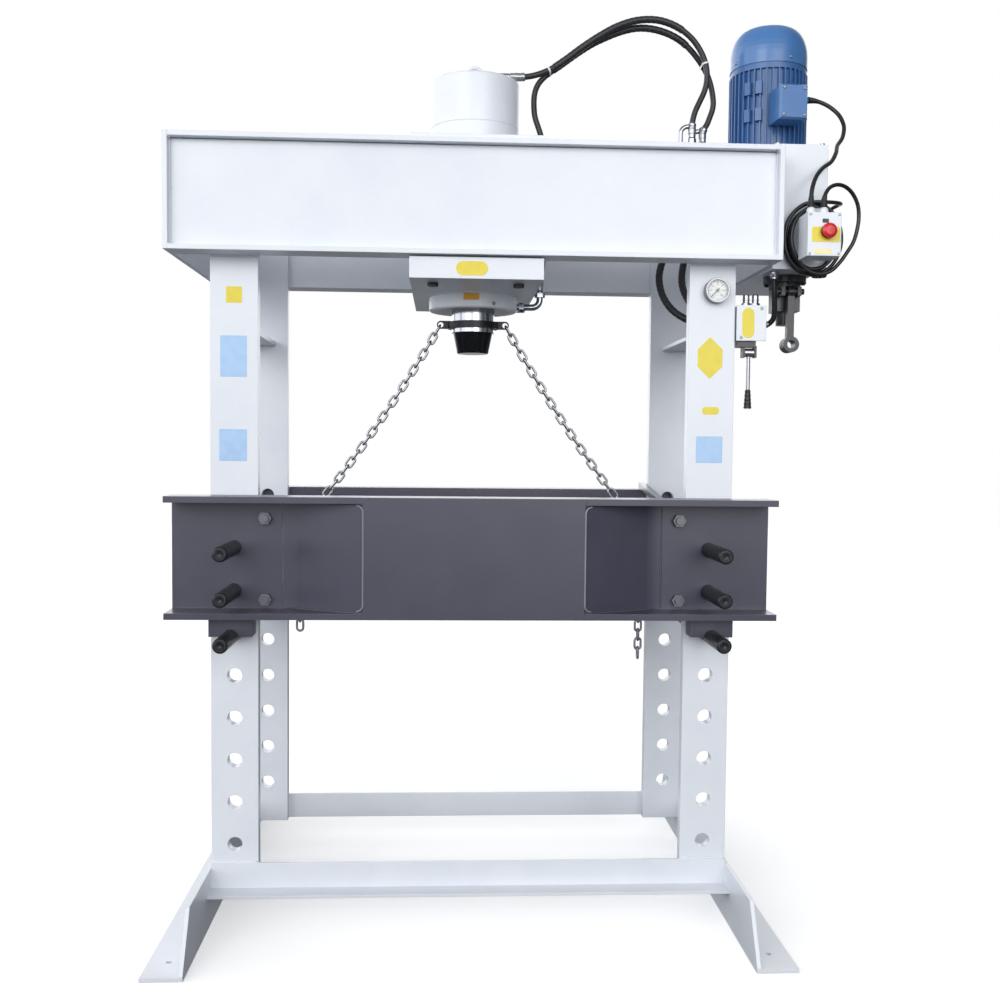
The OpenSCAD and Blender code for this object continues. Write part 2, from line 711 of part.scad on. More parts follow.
// Oil tank on the end of the head, hollow, bored for the pump's coupling
module oil_tank() {
    color(WHITE) difference() {
        translate([tank_x, tank_front, tank_z]) cube([tank_w, tank_depth, tank_h]);
        translate([tank_x + tank_wall, tank_front + tank_wall, tank_z + tank_wall])
            cube([tank_w - 2 * tank_wall, tank_depth - 2 * tank_wall, tank_h - 2 * tank_wall]);
        translate([motor_x, motor_y, tank_top - 2 * tank_wall]) cylinder(h = 3 * tank_wall, r = 40);
    }
}

// Gear pump hung in the tank from the motor's flange
module gear_pump() {
    color(ZINC) translate([motor_x, motor_y, 0]) difference() {
        union() {
            translate([0, 0, tank_top - 60]) cylinder(h = 60, r = 40);
            translate([-38, -42, tank_top - 150]) cube([76, 84, 90]);
        }
        translate([0, 0, tank_top - 100]) cylinder(h = 110, r = shaft_r + slip);
    }
}

// Motor: a finned body standing on a flange, hollow for its rotor
module motor_body() {
    color(BLUE) translate([motor_x, motor_y, 0]) difference() {
        union() {
            translate([0, 0, tank_top]) cylinder(h = 14, r = motor_r - 8, $fn = 72);
            translate([0, 0, motor_z]) cylinder(h = motor_len, r = motor_r - fin_h, $fn = 72);
            for (k = [0 : fin_count - 1]) rotate([0, 0, k * 360 / fin_count])
                translate([motor_r - fin_h - 2, -1.6, motor_z + 16]) cube([fin_h + 2, 3.2, motor_len - 32]);
            for (z = [motor_z, motor_z + motor_len - 16]) translate([0, 0, z]) cylinder(h = 16, r = motor_r - 3, $fn = 72);
            for (a = pad_angles) for (z = pad_zs) rotate([0, 0, a]) translate([motor_r - fin_h - 2, -pad_w / 2, z])
                cube([fin_h + 6, pad_w, pad_h]);
        }
        translate([0, 0, tank_top - eps]) cylinder(h = motor_len + 20, r = shaft_r + slip);
        translate([0, 0, motor_z + 30]) cylinder(h = motor_len - 60, r = motor_r - fin_h - 24, $fn = 72);
    }
}

// Domed fan cowl with a round grille of slots
function dome(inset) = [for (a = [0 : 10 : 90]) [
    cowl_eye + (motor_r - 1 - cowl_eye - inset) * cos(a), cowl_straight + (cowl_h - cowl_straight - inset) * sin(a)]];
module fan_cover() {
    outer = dome(0);
    inner = dome(cowl_wall);
    last = len(outer) - 1;
    color(BLUE) translate([motor_x, motor_y, cowl_z]) difference() {
        rotate_extrude($fn = 72) polygon(concat(
            [[motor_r - 1, 0]], outer, [[0, cowl_h], [0, cowl_h - cowl_wall]], [for (k = [last : -1 : 0]) inner[k]],
            [[motor_r - 1 - cowl_wall, 0]]));
        for (k = [0 : 15]) rotate([0, 0, k * 22.5]) translate([24, -3, cowl_h - 40]) cube([50, 6, 60]);
    }
}

// Rotor: the shaft with its iron core and the fan under the cowl
module motor_rotor() {
    color(ZINC) translate([motor_x, motor_y, 0]) {
        translate([0, 0, tank_top - 95]) cylinder(h = fan_z + 40 - tank_top + 95, r = shaft_r);
        translate([0, 0, motor_z + 60]) cylinder(h = motor_len - 120, r = motor_r - fin_h - 25, $fn = 72);
        translate([0, 0, fan_z]) cylinder(h = 6, r = motor_r - 16, $fn = 72);
        for (k = [0 : 7]) rotate([0, 0, 45 * k]) translate([shaft_r - 2, -2, fan_z + 4]) cube([motor_r - 34, 4, 36]);
    }
}

// A domed cable gland that stands on Z
module cable_gland() {
    rotate_extrude() polygon([
        [0, 0], [gland_r, 0], [gland_r, gland_len - 8], [gland_r - 2, gland_len - 3], [gland_r - 4, gland_len], [0, gland_len]
    ]);
}

// Terminal box on the motor's front, with the gland for its cable
module terminal_box() {
    color(BLUE) translate([motor_x, motor_y, term_z]) rotate([0, 0, term_turn]) {
        difference() {
            translate([-term_w / 2, term_y, 0]) cube([term_w, term_d + 50, term_h]);
            translate([0, 0, -eps]) cylinder(h = term_h + 2 * eps, r = motor_r + slip, $fn = 72);
        }
        translate([0, term_y, term_h / 2]) rotate([90, 0, 0]) linear_extrude(term_lid, scale = 0.9)
            square([term_w + 6, term_h + 6], center = true);
        translate([term_w / 2, term_gland_y, term_gland_z]) rotate([0, 90, 0]) cable_gland();
    }
}
module motor_cable() { color(RUBBER) tube(motor_route, cable_r, 2); }

// Starter box with the bore for its stop button and two glands on top
module starter_box() {
    color(WHITE) {
        difference() {
            translate([starter_x - starter_w / 2, starter_front, starter_z]) cube([starter_w, starter_d, starter_h]);
            translate([stop_x, 0, stop_z]) rod_y(starter_front - eps, 34, 11);
        }
        for (x = [motor_gland_x, mains_gland_x]) translate([x, gland_y, starter_top]) cable_gland();
    }
}

// Bracket from the tank to the back of the starter box, which also carries the lead's turns
module starter_bracket() {
    color(WHITE) {
        translate([coil_x - bracket_t / 2, starter_back, starter_z + 30]) cube([bracket_t, tank_front - starter_back, 101]);
        translate([coil_x - bracket_t / 2 - 12, tank_front - 4, starter_z + 30]) cube([bracket_t + 24, 4, 60]);
        translate([coil_x - bracket_t / 2 - 12, starter_back, starter_z + 30]) cube([bracket_t + 24, 4, 60]);
    }
}
module stop_button() {
    color(RED) translate([stop_x, 0, stop_z]) {
        translate([0, starter_front - 8 - stop_h, 0]) rotate([-90, 0, 0]) rotate_extrude() polygon([
            [0, 0], [stop_d / 2 - 8, 1], [stop_d / 2 - 1, 5], [stop_d / 2, 8], [stop_d / 2 - 2, stop_h], [0, stop_h]
        ]);
        rod_y(starter_front - 9, 32, 11 - slip);
    }
}

// Mains lead: the loop from its gland, the turns hung on the bracket, and the plug
module mains_lead() {
    color(RUBBER) {
        tube(lead_route, lead_r, 2);
        tube(plug_route, lead_r, 2);
    }
}
module coil_outline(inset) {
    for (s = [-1, 1]) translate([0, s * coil_straight / 2]) circle(r = coil_r - inset);
    square([2 * (coil_r - inset), coil_straight], center = true);
}
module mains_coil() {
    color(RUBBER) translate([coil_x, coil_y + coil_d / 2, coil_z]) rotate([90, 0, 0]) linear_extrude(coil_d) difference() {
        coil_outline(0);
        coil_outline(coil_ring);
    }
}
module mains_plug() {
    color(RUBBER) translate([plug_x, plug_y, tank_z]) rotate_extrude() polygon([
        [0, 0], [plug_r, 0], [plug_r, 40], [plug_r - 4, 46], [plug_r - 4, 74], [9, 86], [9, plug_len], [0, plug_len]
    ]);
}

// Valve block with its lever cheeks, fixed on the outer side of the upright
module valve_body() {
    color(BLACK) {
        translate([valve_x, valve_front, valve_z]) cube([valve_w, valve_d, valve_h]);
        translate([valve_x + 8, valve_front + 6, valve_z - 20]) cube([48, 36, 20]);
        for (s = [-1, 1]) difference() {
            translate([lever_x + s * (boss_w / 2 + slip + cheek_t / 2) - cheek_t / 2, lever_y - 12, lever_z - 13]) cube([cheek_t, 24, 30]);
            translate([0, lever_y, lever_z]) rod_x(lever_x - 40, 80, 4);
        }
        for (x = [valve_x + 33, valve_x + 57]) translate([x, valve_front + 24, valve_z + valve_h]) {
            hex_z(0, 12, 19);
            translate([0, 0, 12]) cylinder(h = 22, r = 8);
        }
    }
}
module valve_cover() {
    color(WHITE) difference() {
        translate([valve_x + 2, valve_front - 5, valve_z - 5]) cube([cover_plate_w, 5, cover_plate_h]);
        for (p = [[12, 8], [cover_plate_w - 12, cover_plate_h - 8]])
            translate([valve_x + 2 + p[0], 0, valve_z - 5 + p[1]]) rod_y(valve_front - 6, 3, 4);
    }
}

// Hand lever hung on a cross pin, with its grip
module valve_lever() {
    translate([lever_x, lever_y, lever_z]) {
        color(CHROME) {
            rod_x(-boss_w / 2, boss_w, boss_r);
            rod_x(-boss_w / 2 - cheek_t, boss_w + 2 * cheek_t, 4 - slip);
            translate([0, 0, -lever_len + grip_len]) cylinder(h = lever_len - grip_len, r = lever_r);
        }
        color(BLACK) translate([0, 0, -lever_len]) cylinder(h = grip_len, r1 = grip_r, r2 = grip_top_r);
    }
}

// Hoses from the pipe elbows to the valve, and the pipe from the valve to the tank
module lower_hoses() {
    color(RUBBER) for (route = lower_routes) tube(route, hose_r);
    color(CHROME) tube(tank_pipe_route, tank_pipe_r);
}

// Steel pipes that bring the two hoses down through the head
module pipe_elbows() {
    color(CHROME) for (p = pipe_spots) translate([p[0], p[1], 0]) {
        translate([0, 0, pipe_bottom]) cylinder(h = elbow_z - 20 - pipe_bottom, r = pipe_r);
        hex_z(head_top - 18, 22, 32);
        hex_z(elbow_z - 40, 20, 30);
        translate([elbow_shift, 0, elbow_z - 24]) cylinder(h = 26, r = 12);
    }
}
module advance_hose() { color(RUBBER) tube(advance_route, hose_r, 2); }
module return_hose() { color(RUBBER) tube(return_route, hose_r); }

// Hand pump under the tank, with the pin its arm hangs on
module hand_pump() {
    color(BLACK) {
        translate([pump_x, pump_y, tank_z - pump_flange_t]) cylinder(h = pump_flange_t, r = pump_flange_r);
        translate([pump_x, pump_y, tank_z - 32]) cylinder(h = 16, r = 42);
        translate([pump_x - 34, pump_y - 30, tank_z - 95]) cube([68, 60, 66]);
        translate([pump_x, pump_y, tank_z - 130]) cylinder(h = 40, r = 22);
        for (s = [-1, 1]) translate([pump_x + s * 22 - 5, arm_y - 12, arm_z - 12]) cube([10, 34, 24]);
    }
    color(CHROME) translate([0, arm_y, arm_z]) rod_x(pump_x - 36, 72, arm_pin_r);
}
module pump_arm() {
    color(BLACK) translate([pump_x, arm_y, arm_z]) difference() {
        union() {
            rod_x(-arm_t / 2, arm_t, 16);
            translate([-arm_t / 2, -10, -arm_len + 16]) cube([arm_t, 20, arm_len - 16]);
            translate([0, 0, -arm_len]) rod_y(-20, 40, eye_r);
        }
        rod_x(-arm_t, 2 * arm_t, arm_pin_r + slip);
        translate([0, 0, -arm_len]) rod_y(-21, 42, eye_bore);
    }
}

// Pressure gauge: a round case with a recessed dial, and the needle that turns on it
module gauge_case() {
    color(CHROME) translate([gauge_x, -y_out - gauge_t, gauge_z]) rotate([-90, 0, 0]) rotate_extrude($fn = 72) polygon([
        [2.5, 10], [gauge_r - 5, 10], [gauge_r - 5, 0], [gauge_r - 1, 0], [gauge_r, 2], [gauge_r, gauge_t], [0, gauge_t],
        [0, 13], [2.5, 13]
    ]);
}
module gauge_needle() {
    color(BLACK) translate([gauge_x, -y_out - gauge_t, gauge_z]) rotate([0, needle_rest, 0]) {
        rod_y(5, 3, 4);
        rod_y(5, 7.6, 2.5 - slip);
        translate([-8, 5.4, -1]) cube([gauge_r - 1, 1.4, 2]);
    }
}

left_front_upright();
right_front_upright();
left_rear_upright();
right_rear_upright();
head_front_beam();
head_rear_beam();
head_end_plates();
upright_tie_plates();
left_foot();
right_foot();
stretchers();
front_table_beam();
rear_table_beam();
front_table_cover();
rear_table_cover();
table_cross_rods();
chain_tails();
table_cross_bar();
left_upper_pin();
left_middle_pin();
left_lower_pin();
right_upper_pin();
right_middle_pin();
right_lower_pin();
carriage_top_plate();
carriage_bottom_plate();
carriage_bolts();
cylinder_body();
cylinder_gland();
lifting_eye();
cylinder_fittings();
ram_rod();
chain_collar();
ram_nose();
left_chain();
right_chain();
oil_tank();
gear_pump();
motor_body();
fan_cover();
motor_rotor();
terminal_box();
motor_cable();
starter_box();
starter_bracket();
stop_button();
mains_lead();
mains_coil();
mains_plug();
valve_body();
valve_cover();
valve_lever();
lower_hoses();
pipe_elbows();
advance_hose();
return_hose();
hand_pump();
pump_arm();
gauge_case();
gauge_needle();
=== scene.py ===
# %% [markdown]
# # An electric workshop press
# The rigid parts of this press come from a CAD model, already in place and in metres.
# Blender adds what the CAD leaves plain: hoses, the wound mains lead, dial, plates, weld beads and finishes.
# Everything is written in the CAD's own frame, so a piece goes exactly where its numbers say.

# %% Load the frame
import bpy
import numpy as np
from mathutils import Matrix, Vector


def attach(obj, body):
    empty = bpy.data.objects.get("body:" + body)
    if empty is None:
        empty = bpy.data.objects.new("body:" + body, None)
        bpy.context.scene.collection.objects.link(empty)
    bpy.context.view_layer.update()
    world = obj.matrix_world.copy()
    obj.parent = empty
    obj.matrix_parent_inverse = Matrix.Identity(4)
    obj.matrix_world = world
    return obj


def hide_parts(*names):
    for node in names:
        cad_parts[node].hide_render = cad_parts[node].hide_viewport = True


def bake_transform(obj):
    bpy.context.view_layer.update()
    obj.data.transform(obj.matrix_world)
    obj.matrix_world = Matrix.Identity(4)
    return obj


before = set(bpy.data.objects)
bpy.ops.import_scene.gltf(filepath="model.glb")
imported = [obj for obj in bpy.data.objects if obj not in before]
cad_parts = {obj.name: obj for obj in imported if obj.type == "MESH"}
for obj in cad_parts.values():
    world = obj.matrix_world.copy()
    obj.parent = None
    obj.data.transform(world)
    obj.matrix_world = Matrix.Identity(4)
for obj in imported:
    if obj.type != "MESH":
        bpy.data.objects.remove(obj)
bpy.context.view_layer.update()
scene = bpy.context.scene

# %% [markdown]
# ## The camera
# The photograph was taken from a little left of the middle, at about chest height, looking slightly down.
# The place and turn were solved from the pin holes and the beam ends, so they are written as a matrix.
# A camera could be aimed with a Track To constraint, but a solved view also has a small roll.

# %% Camera
camera_data = bpy.data.cameras.new("camera")
camera_data.lens = 39.6
camera_data.sensor_width = 36.0
camera = bpy.data.objects.new("camera", camera_data)
scene.collection.objects.link(camera)
camera_right = (0.99866974, -0.05060466, 0.00989503)
camera_up = (-0.00739622, 0.04933002, 0.99875515)
camera_back = (-0.05102978, -0.99749973, 0.04889011)
camera_place = (-0.07790, -3.10642, 1.23921)
columns = np.array([camera_right, camera_up, camera_back, camera_place]).T
camera.matrix_world = Matrix(np.vstack([columns, [0, 0, 0, 1]]).tolist())
scene.camera = camera
print("camera at", camera_place)

# %% [markdown]
# ## Helpers for surfaces
# Every new piece here is a grid of points: one parameter runs along it, the other across or round it.
# The grid could be modelled by hand, but a formula keeps each piece true to its measured size.
# Whole numpy arrays are computed at once and handed to the mesh in one go.

# %% A mesh from a grid of points
MM = 0.001
along_x = (1, 0, 0)
along_y = (0, 1, 0)
upwards = (0, 0, 1)
downwards = (0, 0, -1)
made = {}


def mm(values):
    """Millimetres as an array of metres."""
    return np.array(values, float) * MM


def keep(piece, body, finish):
    """Says which body a piece rides on, and notes the finish that it gets later."""
    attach(piece, body)
    made.setdefault(finish, []).append(piece)
    return piece


def new_piece(name, points, faces):
    """An object at the origin from points and faces, shaded smooth with its sharp edges kept."""
    mesh = bpy.data.meshes.new(name)
    mesh.from_pydata(points.reshape(-1, 3).tolist(), [], faces)
    mesh.shade_smooth()
    mesh.set_sharp_from_angle(angle=np.radians(35))
    piece = bpy.data.objects.new(name, mesh)
    scene.collection.objects.link(piece)
    return piece


def skin(name, grid, wrap=True, caps=True, closed=False):
    """Joins a grid of points (rows, columns, 3) with quads; wrap joins the last column to the first,
    closed joins the last row to the first, and caps fill the first and last rows.
    The texture coordinates are the distance round and the distance along, in metres."""
    rows, cols = grid.shape[:2]
    index = np.arange(rows * cols).reshape(rows, cols)
    points = grid
    if wrap:
        index = np.concatenate([index, index[:, :1]], axis=1)
        points = np.concatenate([points, points[:, :1]], axis=1)
    if closed:
        index = np.concatenate([index, index[:1]], axis=0)
        points = np.concatenate([points, points[:1]], axis=0)
    round_step = np.linalg.norm(np.diff(points, axis=1), axis=2).mean(axis=0)
    along_step = np.linalg.norm(np.diff(points, axis=0), axis=2).mean(axis=1)
    u = np.concatenate([[0], np.cumsum(round_step)])
    v = np.concatenate([[0], np.cumsum(along_step)])
    uv = np.stack(np.broadcast_arrays(u[None, :], v[:, None]), axis=-1)
    corners = [np.s_[:-1, :-1], np.s_[:-1, 1:], np.s_[1:, 1:], np.s_[1:, :-1]]
    faces = np.stack([index[c] for c in corners], axis=-1).reshape(-1, 4).tolist()
    loops = np.stack([uv[c] for c in corners], axis=2).reshape(-1, 2)
    if caps:
        faces.append(index[0, :cols][::-1].tolist())
        faces.append(index[-1, :cols].tolist())
        loops = np.concatenate([loops, np.zeros((2 * cols, 2))])
    piece = new_piece(name, grid, faces)
    layer = piece.data.uv_layers.new(name="UVMap")
    layer.data.foreach_set("uv", loops.astype(np.float32).ravel())
    return piece


def unit(vectors):
    """The same directions with a length of one."""
    return vectors / np.linalg.norm(vectors, axis=-1, keepdims=True)


def tube(points, radii, sides, hint):
    """Rings of the given radii stand square to the path at each of its points; hint is never along the path.
    A radius may be one number, one for each point, or a table of one for each point and each side."""
    points = np.asarray(points, float)
    ahead = unit(np.gradient(points, axis=0))
    across = unit(np.cross(ahead, np.asarray(hint, float)))
    upward = np.cross(across, ahead)
    turn = np.linspace(0, 2 * np.pi, sides, endpoint=False)[None, :, None]
    ring = np.cos(turn) * across[:, None, :] + np.sin(turn) * upward[:, None, :]
    radii = np.asarray(radii, float)
    if radii.ndim < 2:
        radii = np.broadcast_to(radii, (len(points),))[:, None]
    return points[:, None, :] + radii[:, :, None] * ring


def turned(profile, steps, origin, axis, six=0.0):
    """A lathe form: each (radius, height) of the profile goes once round the axis that starts at origin.
    Where six is 1, a ring is a hexagon with that radius at its corners, as a nut or a socket is."""
    profile = np.asarray(profile, float)
    axis = unit(np.asarray(axis, float))
    side = unit(np.cross(axis, (0.0, 0.0, 1.0) if abs(axis[2]) < 0.9 else (1.0, 0.0, 0.0)))
    other = np.cross(axis, side)
    turn = np.linspace(0, 2 * np.pi, steps, endpoint=False)
    flat = np.cos(np.pi / 6) / np.cos(turn % (np.pi / 3) - np.pi / 6)
    six = np.broadcast_to(np.asarray(six, float), (len(profile),))[:, None]
    radii = profile[:, :1] * (1 - six + six * flat)
    ring = np.cos(turn)[:, None] * side + np.sin(turn)[:, None] * other
    heights = profile[:, None, 1:] * axis
    return np.asarray(origin, float) + heights + radii[:, :, None] * ring


def lathe(name, profile, steps, place, axis, body, finish, six=0.0, ring=False):
    """A turned piece in its finish; where ring is true, the profile closes on itself round a hole."""
    grid = turned(profile, steps, place, axis, six)
    return keep(skin(name, grid, caps=not ring, closed=ring), body, finish)


def smooth_path(points, step):
    """A Catmull-Rom curve through the points, resampled so that its new points lie about one step apart."""
    points = np.asarray(points, float)
    ends = np.concatenate([[2 * points[0] - points[1]], points, [2 * points[-1] - points[-2]]])
    before, here, there, after = ends[:-3], ends[1:-2], ends[2:-1], ends[3:]
    t = np.linspace(0, 1, 24, endpoint=False)[None, :, None]
    a, b, c, d = (part[:, None, :] for part in (before, here, there, after))
    slope = c - a
    square = 2 * a - 5 * b + 4 * c - d
    cube = 3 * b - a - 3 * c + d
    curve = 0.5 * (2 * b + slope * t + square * t ** 2 + cube * t ** 3)
    curve = np.concatenate([curve.reshape(-1, 3), points[-1:]])
    return part_of(curve, 0, path_length(curve), step)


def path_length(points):
    """The sum of the straight steps between the points."""
    return float(np.linalg.norm(np.diff(points, axis=0), axis=1).sum())


def part_of(path, start, length, step):
    """The stretch of a path that starts at one distance and has one length, with fresh even points."""
    run = np.concatenate([[0], np.cumsum(np.linalg.norm(np.diff(path, axis=0), axis=1))])
    even = np.linspace(start, start + length, int(round(length / step)) + 1)
    return np.stack([np.interp(even, run, path[:, axis]) for axis in range(3)], axis=1)


print("surface helpers ready")

# %% [markdown]
# ## The two hoses to the cylinder
# Two black rubber hoses stand up in an arch from the cylinder and come down to the pipes on the head.
# They could be curves with a round bevel; here each is a mesh tube.

# %% Advance and return hoses
hose_radius = 8 * MM
advance_route = mm([
    [95.3, -8, 2262], [130, -8, 2262], [169, -8, 2269], [210, -8, 2286], [251, -9, 2313],
    [294, -11, 2345], [342, -13, 2377], [394, -13, 2406], [450, -13, 2424], [507, -13, 2426],
    [560, -14, 2409], [602, -15, 2378], [630, -16, 2339], [644, -17, 2300], [646, -18, 2264],
    [639, -19, 2232], [626, -20, 2203], [613, -21, 2173], [606, -22, 2140], [606, -22, 2100.3]])
return_route = mm([
    [187, 0, 1673.3], [187, 0, 1703], [196, 0, 1779], [200, 0, 1959], [188, 0, 2090], [166, 2, 2170],
    [176, 9, 2248], [245, 11, 2308], [345, 11, 2374], [460, 11, 2412], [568, 12, 2386], [646, 16, 2306],
    [674, 20, 2220], [662, 22, 2164], [646, 22, 2132], [646, 22, 2100.3]])


def hose(name, route, radius, hint, node, finish):
    """A round tube of one radius along the smooth curve through the route."""
    path = smooth_path(route, 6 * MM)
    piece = skin(name, tube(path, radius, 20, hint))
    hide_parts(node)
    made.setdefault(finish, []).append(piece)
    print(name, "length", round(path_length(path), 3), "m")
    return piece, path


advance_hose, advance_path = hose("advance_hose_rubber", advance_route, hose_radius, along_y,
                                  "advance_hose", "hose_rubber")
return_hose, return_path = hose("return_hose_rubber", return_route, hose_radius, along_y,
                                "return_hose", "hose_rubber")
for piece in (advance_hose, return_hose):
    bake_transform(piece)

# %% [markdown]
# ## Spiral guards
# A black spiral guard is wound round the hoses where they could rub, so they look thicker there.
# It could be a helix of flat band; a tube whose radius swings along a screw line gives the same faint ribs.
# Each guard follows the same path as its hose.

# %% Guards
guard_pitch = 14 * MM
guard_rib = 0.2 * MM
guard_sides = 24


def spiral_guard(name, path, start, length, radius, hint):
    """A tube along part of a path; its radius swings by the rib with the cosine of the distance along it
    less the angle round it, cut off so that each rib has a flat top."""
    part = part_of(path, start, length, 1.5 * MM)
    run = np.linspace(0, length, len(part))[:, None]
    turn = np.linspace(0, 2 * np.pi, guard_sides, endpoint=False)[None, :]
    ribs = np.clip(1.6 * np.cos(2 * np.pi * run / guard_pitch - turn), -1, 1)
    return skin(name, tube(part, radius + guard_rib * ribs, guard_sides, hint))


guarded = [("advance", advance_path, 130 * MM, 400 * MM), ("return", return_path, 640 * MM, 420 * MM)]
for name, path, start, length in guarded:
    guard = spiral_guard(name + "_hose_guard", path, start, length, 9.6 * MM, along_y)
    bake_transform(guard)
    made.setdefault("hose_rubber", []).append(guard)
gaps = np.linalg.norm(advance_path[:, None] - return_path[None], axis=2)
print("guards made; the hoses come within", round(float(gaps.min()) / MM, 1), "mm")

# %% [markdown]
# ## Hoses below the head and the motor cable
# Two short hoses run from the pipes under the head to the valve, and a black steel pipe goes to the tank.
# The motor cable drops from the terminal box to the starter.
# They lie still on the frame, so a plain tube along a smooth curve is enough.

# %% Lower hoses, tank pipe and motor cable
lower_routes = [
    mm([
        [600, -22, 1937.7], [600, -22, 1906], [593, -20, 1871], [576, -17, 1835], [551, -15, 1800],
        [529, -19, 1759], [519, -29, 1711], [527, -45, 1661], [555, -64, 1617], [600, -86, 1588],
        [648, -118, 1577], [679, -161, 1574], [690, -202, 1573], [690, -234.7, 1573]]),
    mm([
        [640, 22, 1937.7], [640, 22, 1914], [626, 20, 1850], [596, 12, 1760], [590, -10, 1690],
        [612, -54, 1632], [656, -106, 1598], [700, -150, 1581], [718, -199, 1573], [718, -234.7, 1573]])]
lower_hoses = [
    hose(f"lower_hose_{number + 1}", route, hose_radius, along_x, "lower_hoses", "hose_rubber")
    for number, route in enumerate(lower_routes)]
tank_pipe_route = mm([
    [742.3, -261, 1562], [760, -261, 1562], [780, -251, 1584], [786, -231, 1642], [786, -225, 1685],
    [786, -225, 1704.7]])
tank_pipe = skin("tank_pipe", tube(smooth_path(tank_pipe_route, 4 * MM), 7 * MM, 20, along_y))
keep(tank_pipe, "frame", "black_steel")
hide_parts("lower_hoses")
motor_cable_route = mm([
    [900.3, -119.4, 2184], [916.9, -117.7, 2184], [938, -118, 2179], [962, -123, 2165], [982, -136, 2140],
    [988, -156, 2106], [975, -183, 2069], [950, -217, 2038], [932, -258, 2008], [908, -293, 1976],
    [876, -324, 1952], [851, -349, 1924], [837, -363, 1892], [833, -368, 1864], [833, -368, 1843.3]])
motor_cable, motor_cable_path = hose("motor_cable_sheath", motor_cable_route, 5.5 * MM, along_y,
                                     "motor_cable", "cable_sheath")
for piece in [motor_cable] + [piece for piece, path in lower_hoses]:
    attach(piece, "frame")
for number, (piece, path) in enumerate(lower_hoses):
    keep(spiral_guard(f"lower_hose_guard_{number + 1}", path, 60 * MM, 440 * MM, 9.9 * MM, along_x),
         "frame", "hose_rubber")

# %% [markdown]
# ## The wound mains lead
# The lead leaves the starter upwards, turns over and hangs on a bracket in about five oval turns.
# Two layers of turns lie beside and on each other a diameter apart, as a lead wound by hand does.
# A formula gives each point its turn, layer and depth, so the turns never cut into each other.

# %% Mains lead
lead_radius = 5 * MM
coil_centre = mm([863, -300, 1777.9])
coil_half = mm([72, 89])


def eased(u, start, end):
    """0 before start, 1 after end, and a smooth rise between them."""
    t = np.clip((u - start) / (end - start), 0, 1)
    return t * t * (3 - 2 * t)


coil_turns = 4.647
dive_end = 0.3
climb_start = 3.0
climb_end = 3.25
turns = np.linspace(0, coil_turns, 85)
angle = np.radians(-37) - 2 * np.pi * turns
loose = 2.5 * (1 + np.cos(angle - np.radians(45))) * eased(turns, 3.1, 3.8)
layer = 11 - 22.5 * eased(turns, 0, dive_end) + 11.5 * eased(turns, climb_start, climb_end) + loose
rearward = np.clip((turns - dive_end) / (climb_start - dive_end), 0, 1)
forward = np.clip((turns - climb_end) / (coil_turns - climb_end), 0, 1)
depth = -15 + 29 * rearward - 14 * forward
oval = coil_half + layer[:, None] * MM
coil_ring = np.stack([oval[:, 0] * np.cos(angle), depth * MM, oval[:, 1] * np.sin(angle)], axis=1)
coil_points = coil_centre + coil_ring
lead_points = mm([
    [866, -368, 1843.3], [866, -368, 1861], [872, -364, 1881], [886, -357, 1897], [907, -348, 1905],
    [931, -338, 1902], [953, -329, 1887], [969, -322, 1861], [974, -318, 1830], [970, -318, 1798],
    [961, -319, 1768], [946, -317, 1742]])
tail_points = mm([
    [894, -300, 1872], [917, -293, 1873], [937, -277, 1875], [950, -253, 1878], [953, -223, 1881],
    [947, -192, 1878], [940, -166, 1865], [936, -148, 1844], [935, -140, 1820], [935, -140, 1800.3]])
mains_path = smooth_path(np.concatenate([lead_points, coil_points, tail_points]), 5 * MM)
mains_lead = skin("mains_lead_sheath", tube(mains_path, lead_radius, 14, along_y))
keep(mains_lead, "frame", "cable_sheath")
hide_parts("mains_lead", "mains_coil")
print("mains lead length", round(path_length(mains_path), 3), "m")

# %% [markdown]
# ## The plug
# A black plug hangs behind the coil, beside the tank: a wide front, a ribbed grip and a neck for the lead.
# Every ring of it is round, so it is turned from a lathe profile, and its contacts are small turned rods.

# %% Plug
plug_origin = mm([935, -140, 1705])
rib_z = np.linspace(30, 61, 49)
rib_r = 16.5 + 1.1 * np.cos((rib_z - 30) / 5.2 * 2 * np.pi)
plug_profile = np.concatenate([
    [[0.5, 6], [15.5, 6], [16.5, 1.5], [18.5, 0.5], [20.4, 3], [20.9, 6], [20.9, 22], [19.6, 25], [17.6, 28]],
    np.stack([rib_r, rib_z], axis=1),
    [[16.0, 63], [12.5, 66], [9.5, 69], [8.4, 74], [7.2, 84], [6.2, 93], [5.3, 95]]]) * MM
plug = lathe("plug_body", plug_profile, 40, plug_origin, upwards, "frame", "black_plastic")
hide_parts("mains_plug")
contact_profile = mm([[0.3, 0], [1.6, 0.2], [2.3, 1.2], [2.4, 2], [2.4, 5], [0.3, 5.5]])
for number, (x, y) in enumerate([(-9.5, 0), (9.5, 0), (0, 7)]):
    place = plug_origin + mm([x, y, 0.8])
    contact = f"plug_contact_{number + 1}"
    lathe(contact, contact_profile, 20, place, upwards, "frame", "zinc")

# %% [markdown]
# ## Ferrules, gland sleeves and ties
# Each hose end is crimped in a zinc-plated ferrule with pressed rings, and each cable end has a sleeve.
# They follow the hose's own path, so the same tube formula is used with a radius that changes along it.
# Two pale plastic ties hold the two hoses together: each is a band round an oval, with its head at one side.

# %% Ferrules and sleeves


def crimped(s):
    """A ferrule: 11.3 mm in radius with two pressed rings, a step and rounded ends; s runs from 0 to 1."""
    rings = 0.6 * np.exp(-((s[:, None] - np.array([0.62, 0.78])) / 0.03) ** 2).sum(axis=1)
    step = 1.1 * (s < 0.3)
    ends = 1.6 * np.clip(1 - np.minimum(s, 1 - s) / 0.06, 0, 1) ** 2
    return (11.3 - rings - step - ends) * MM


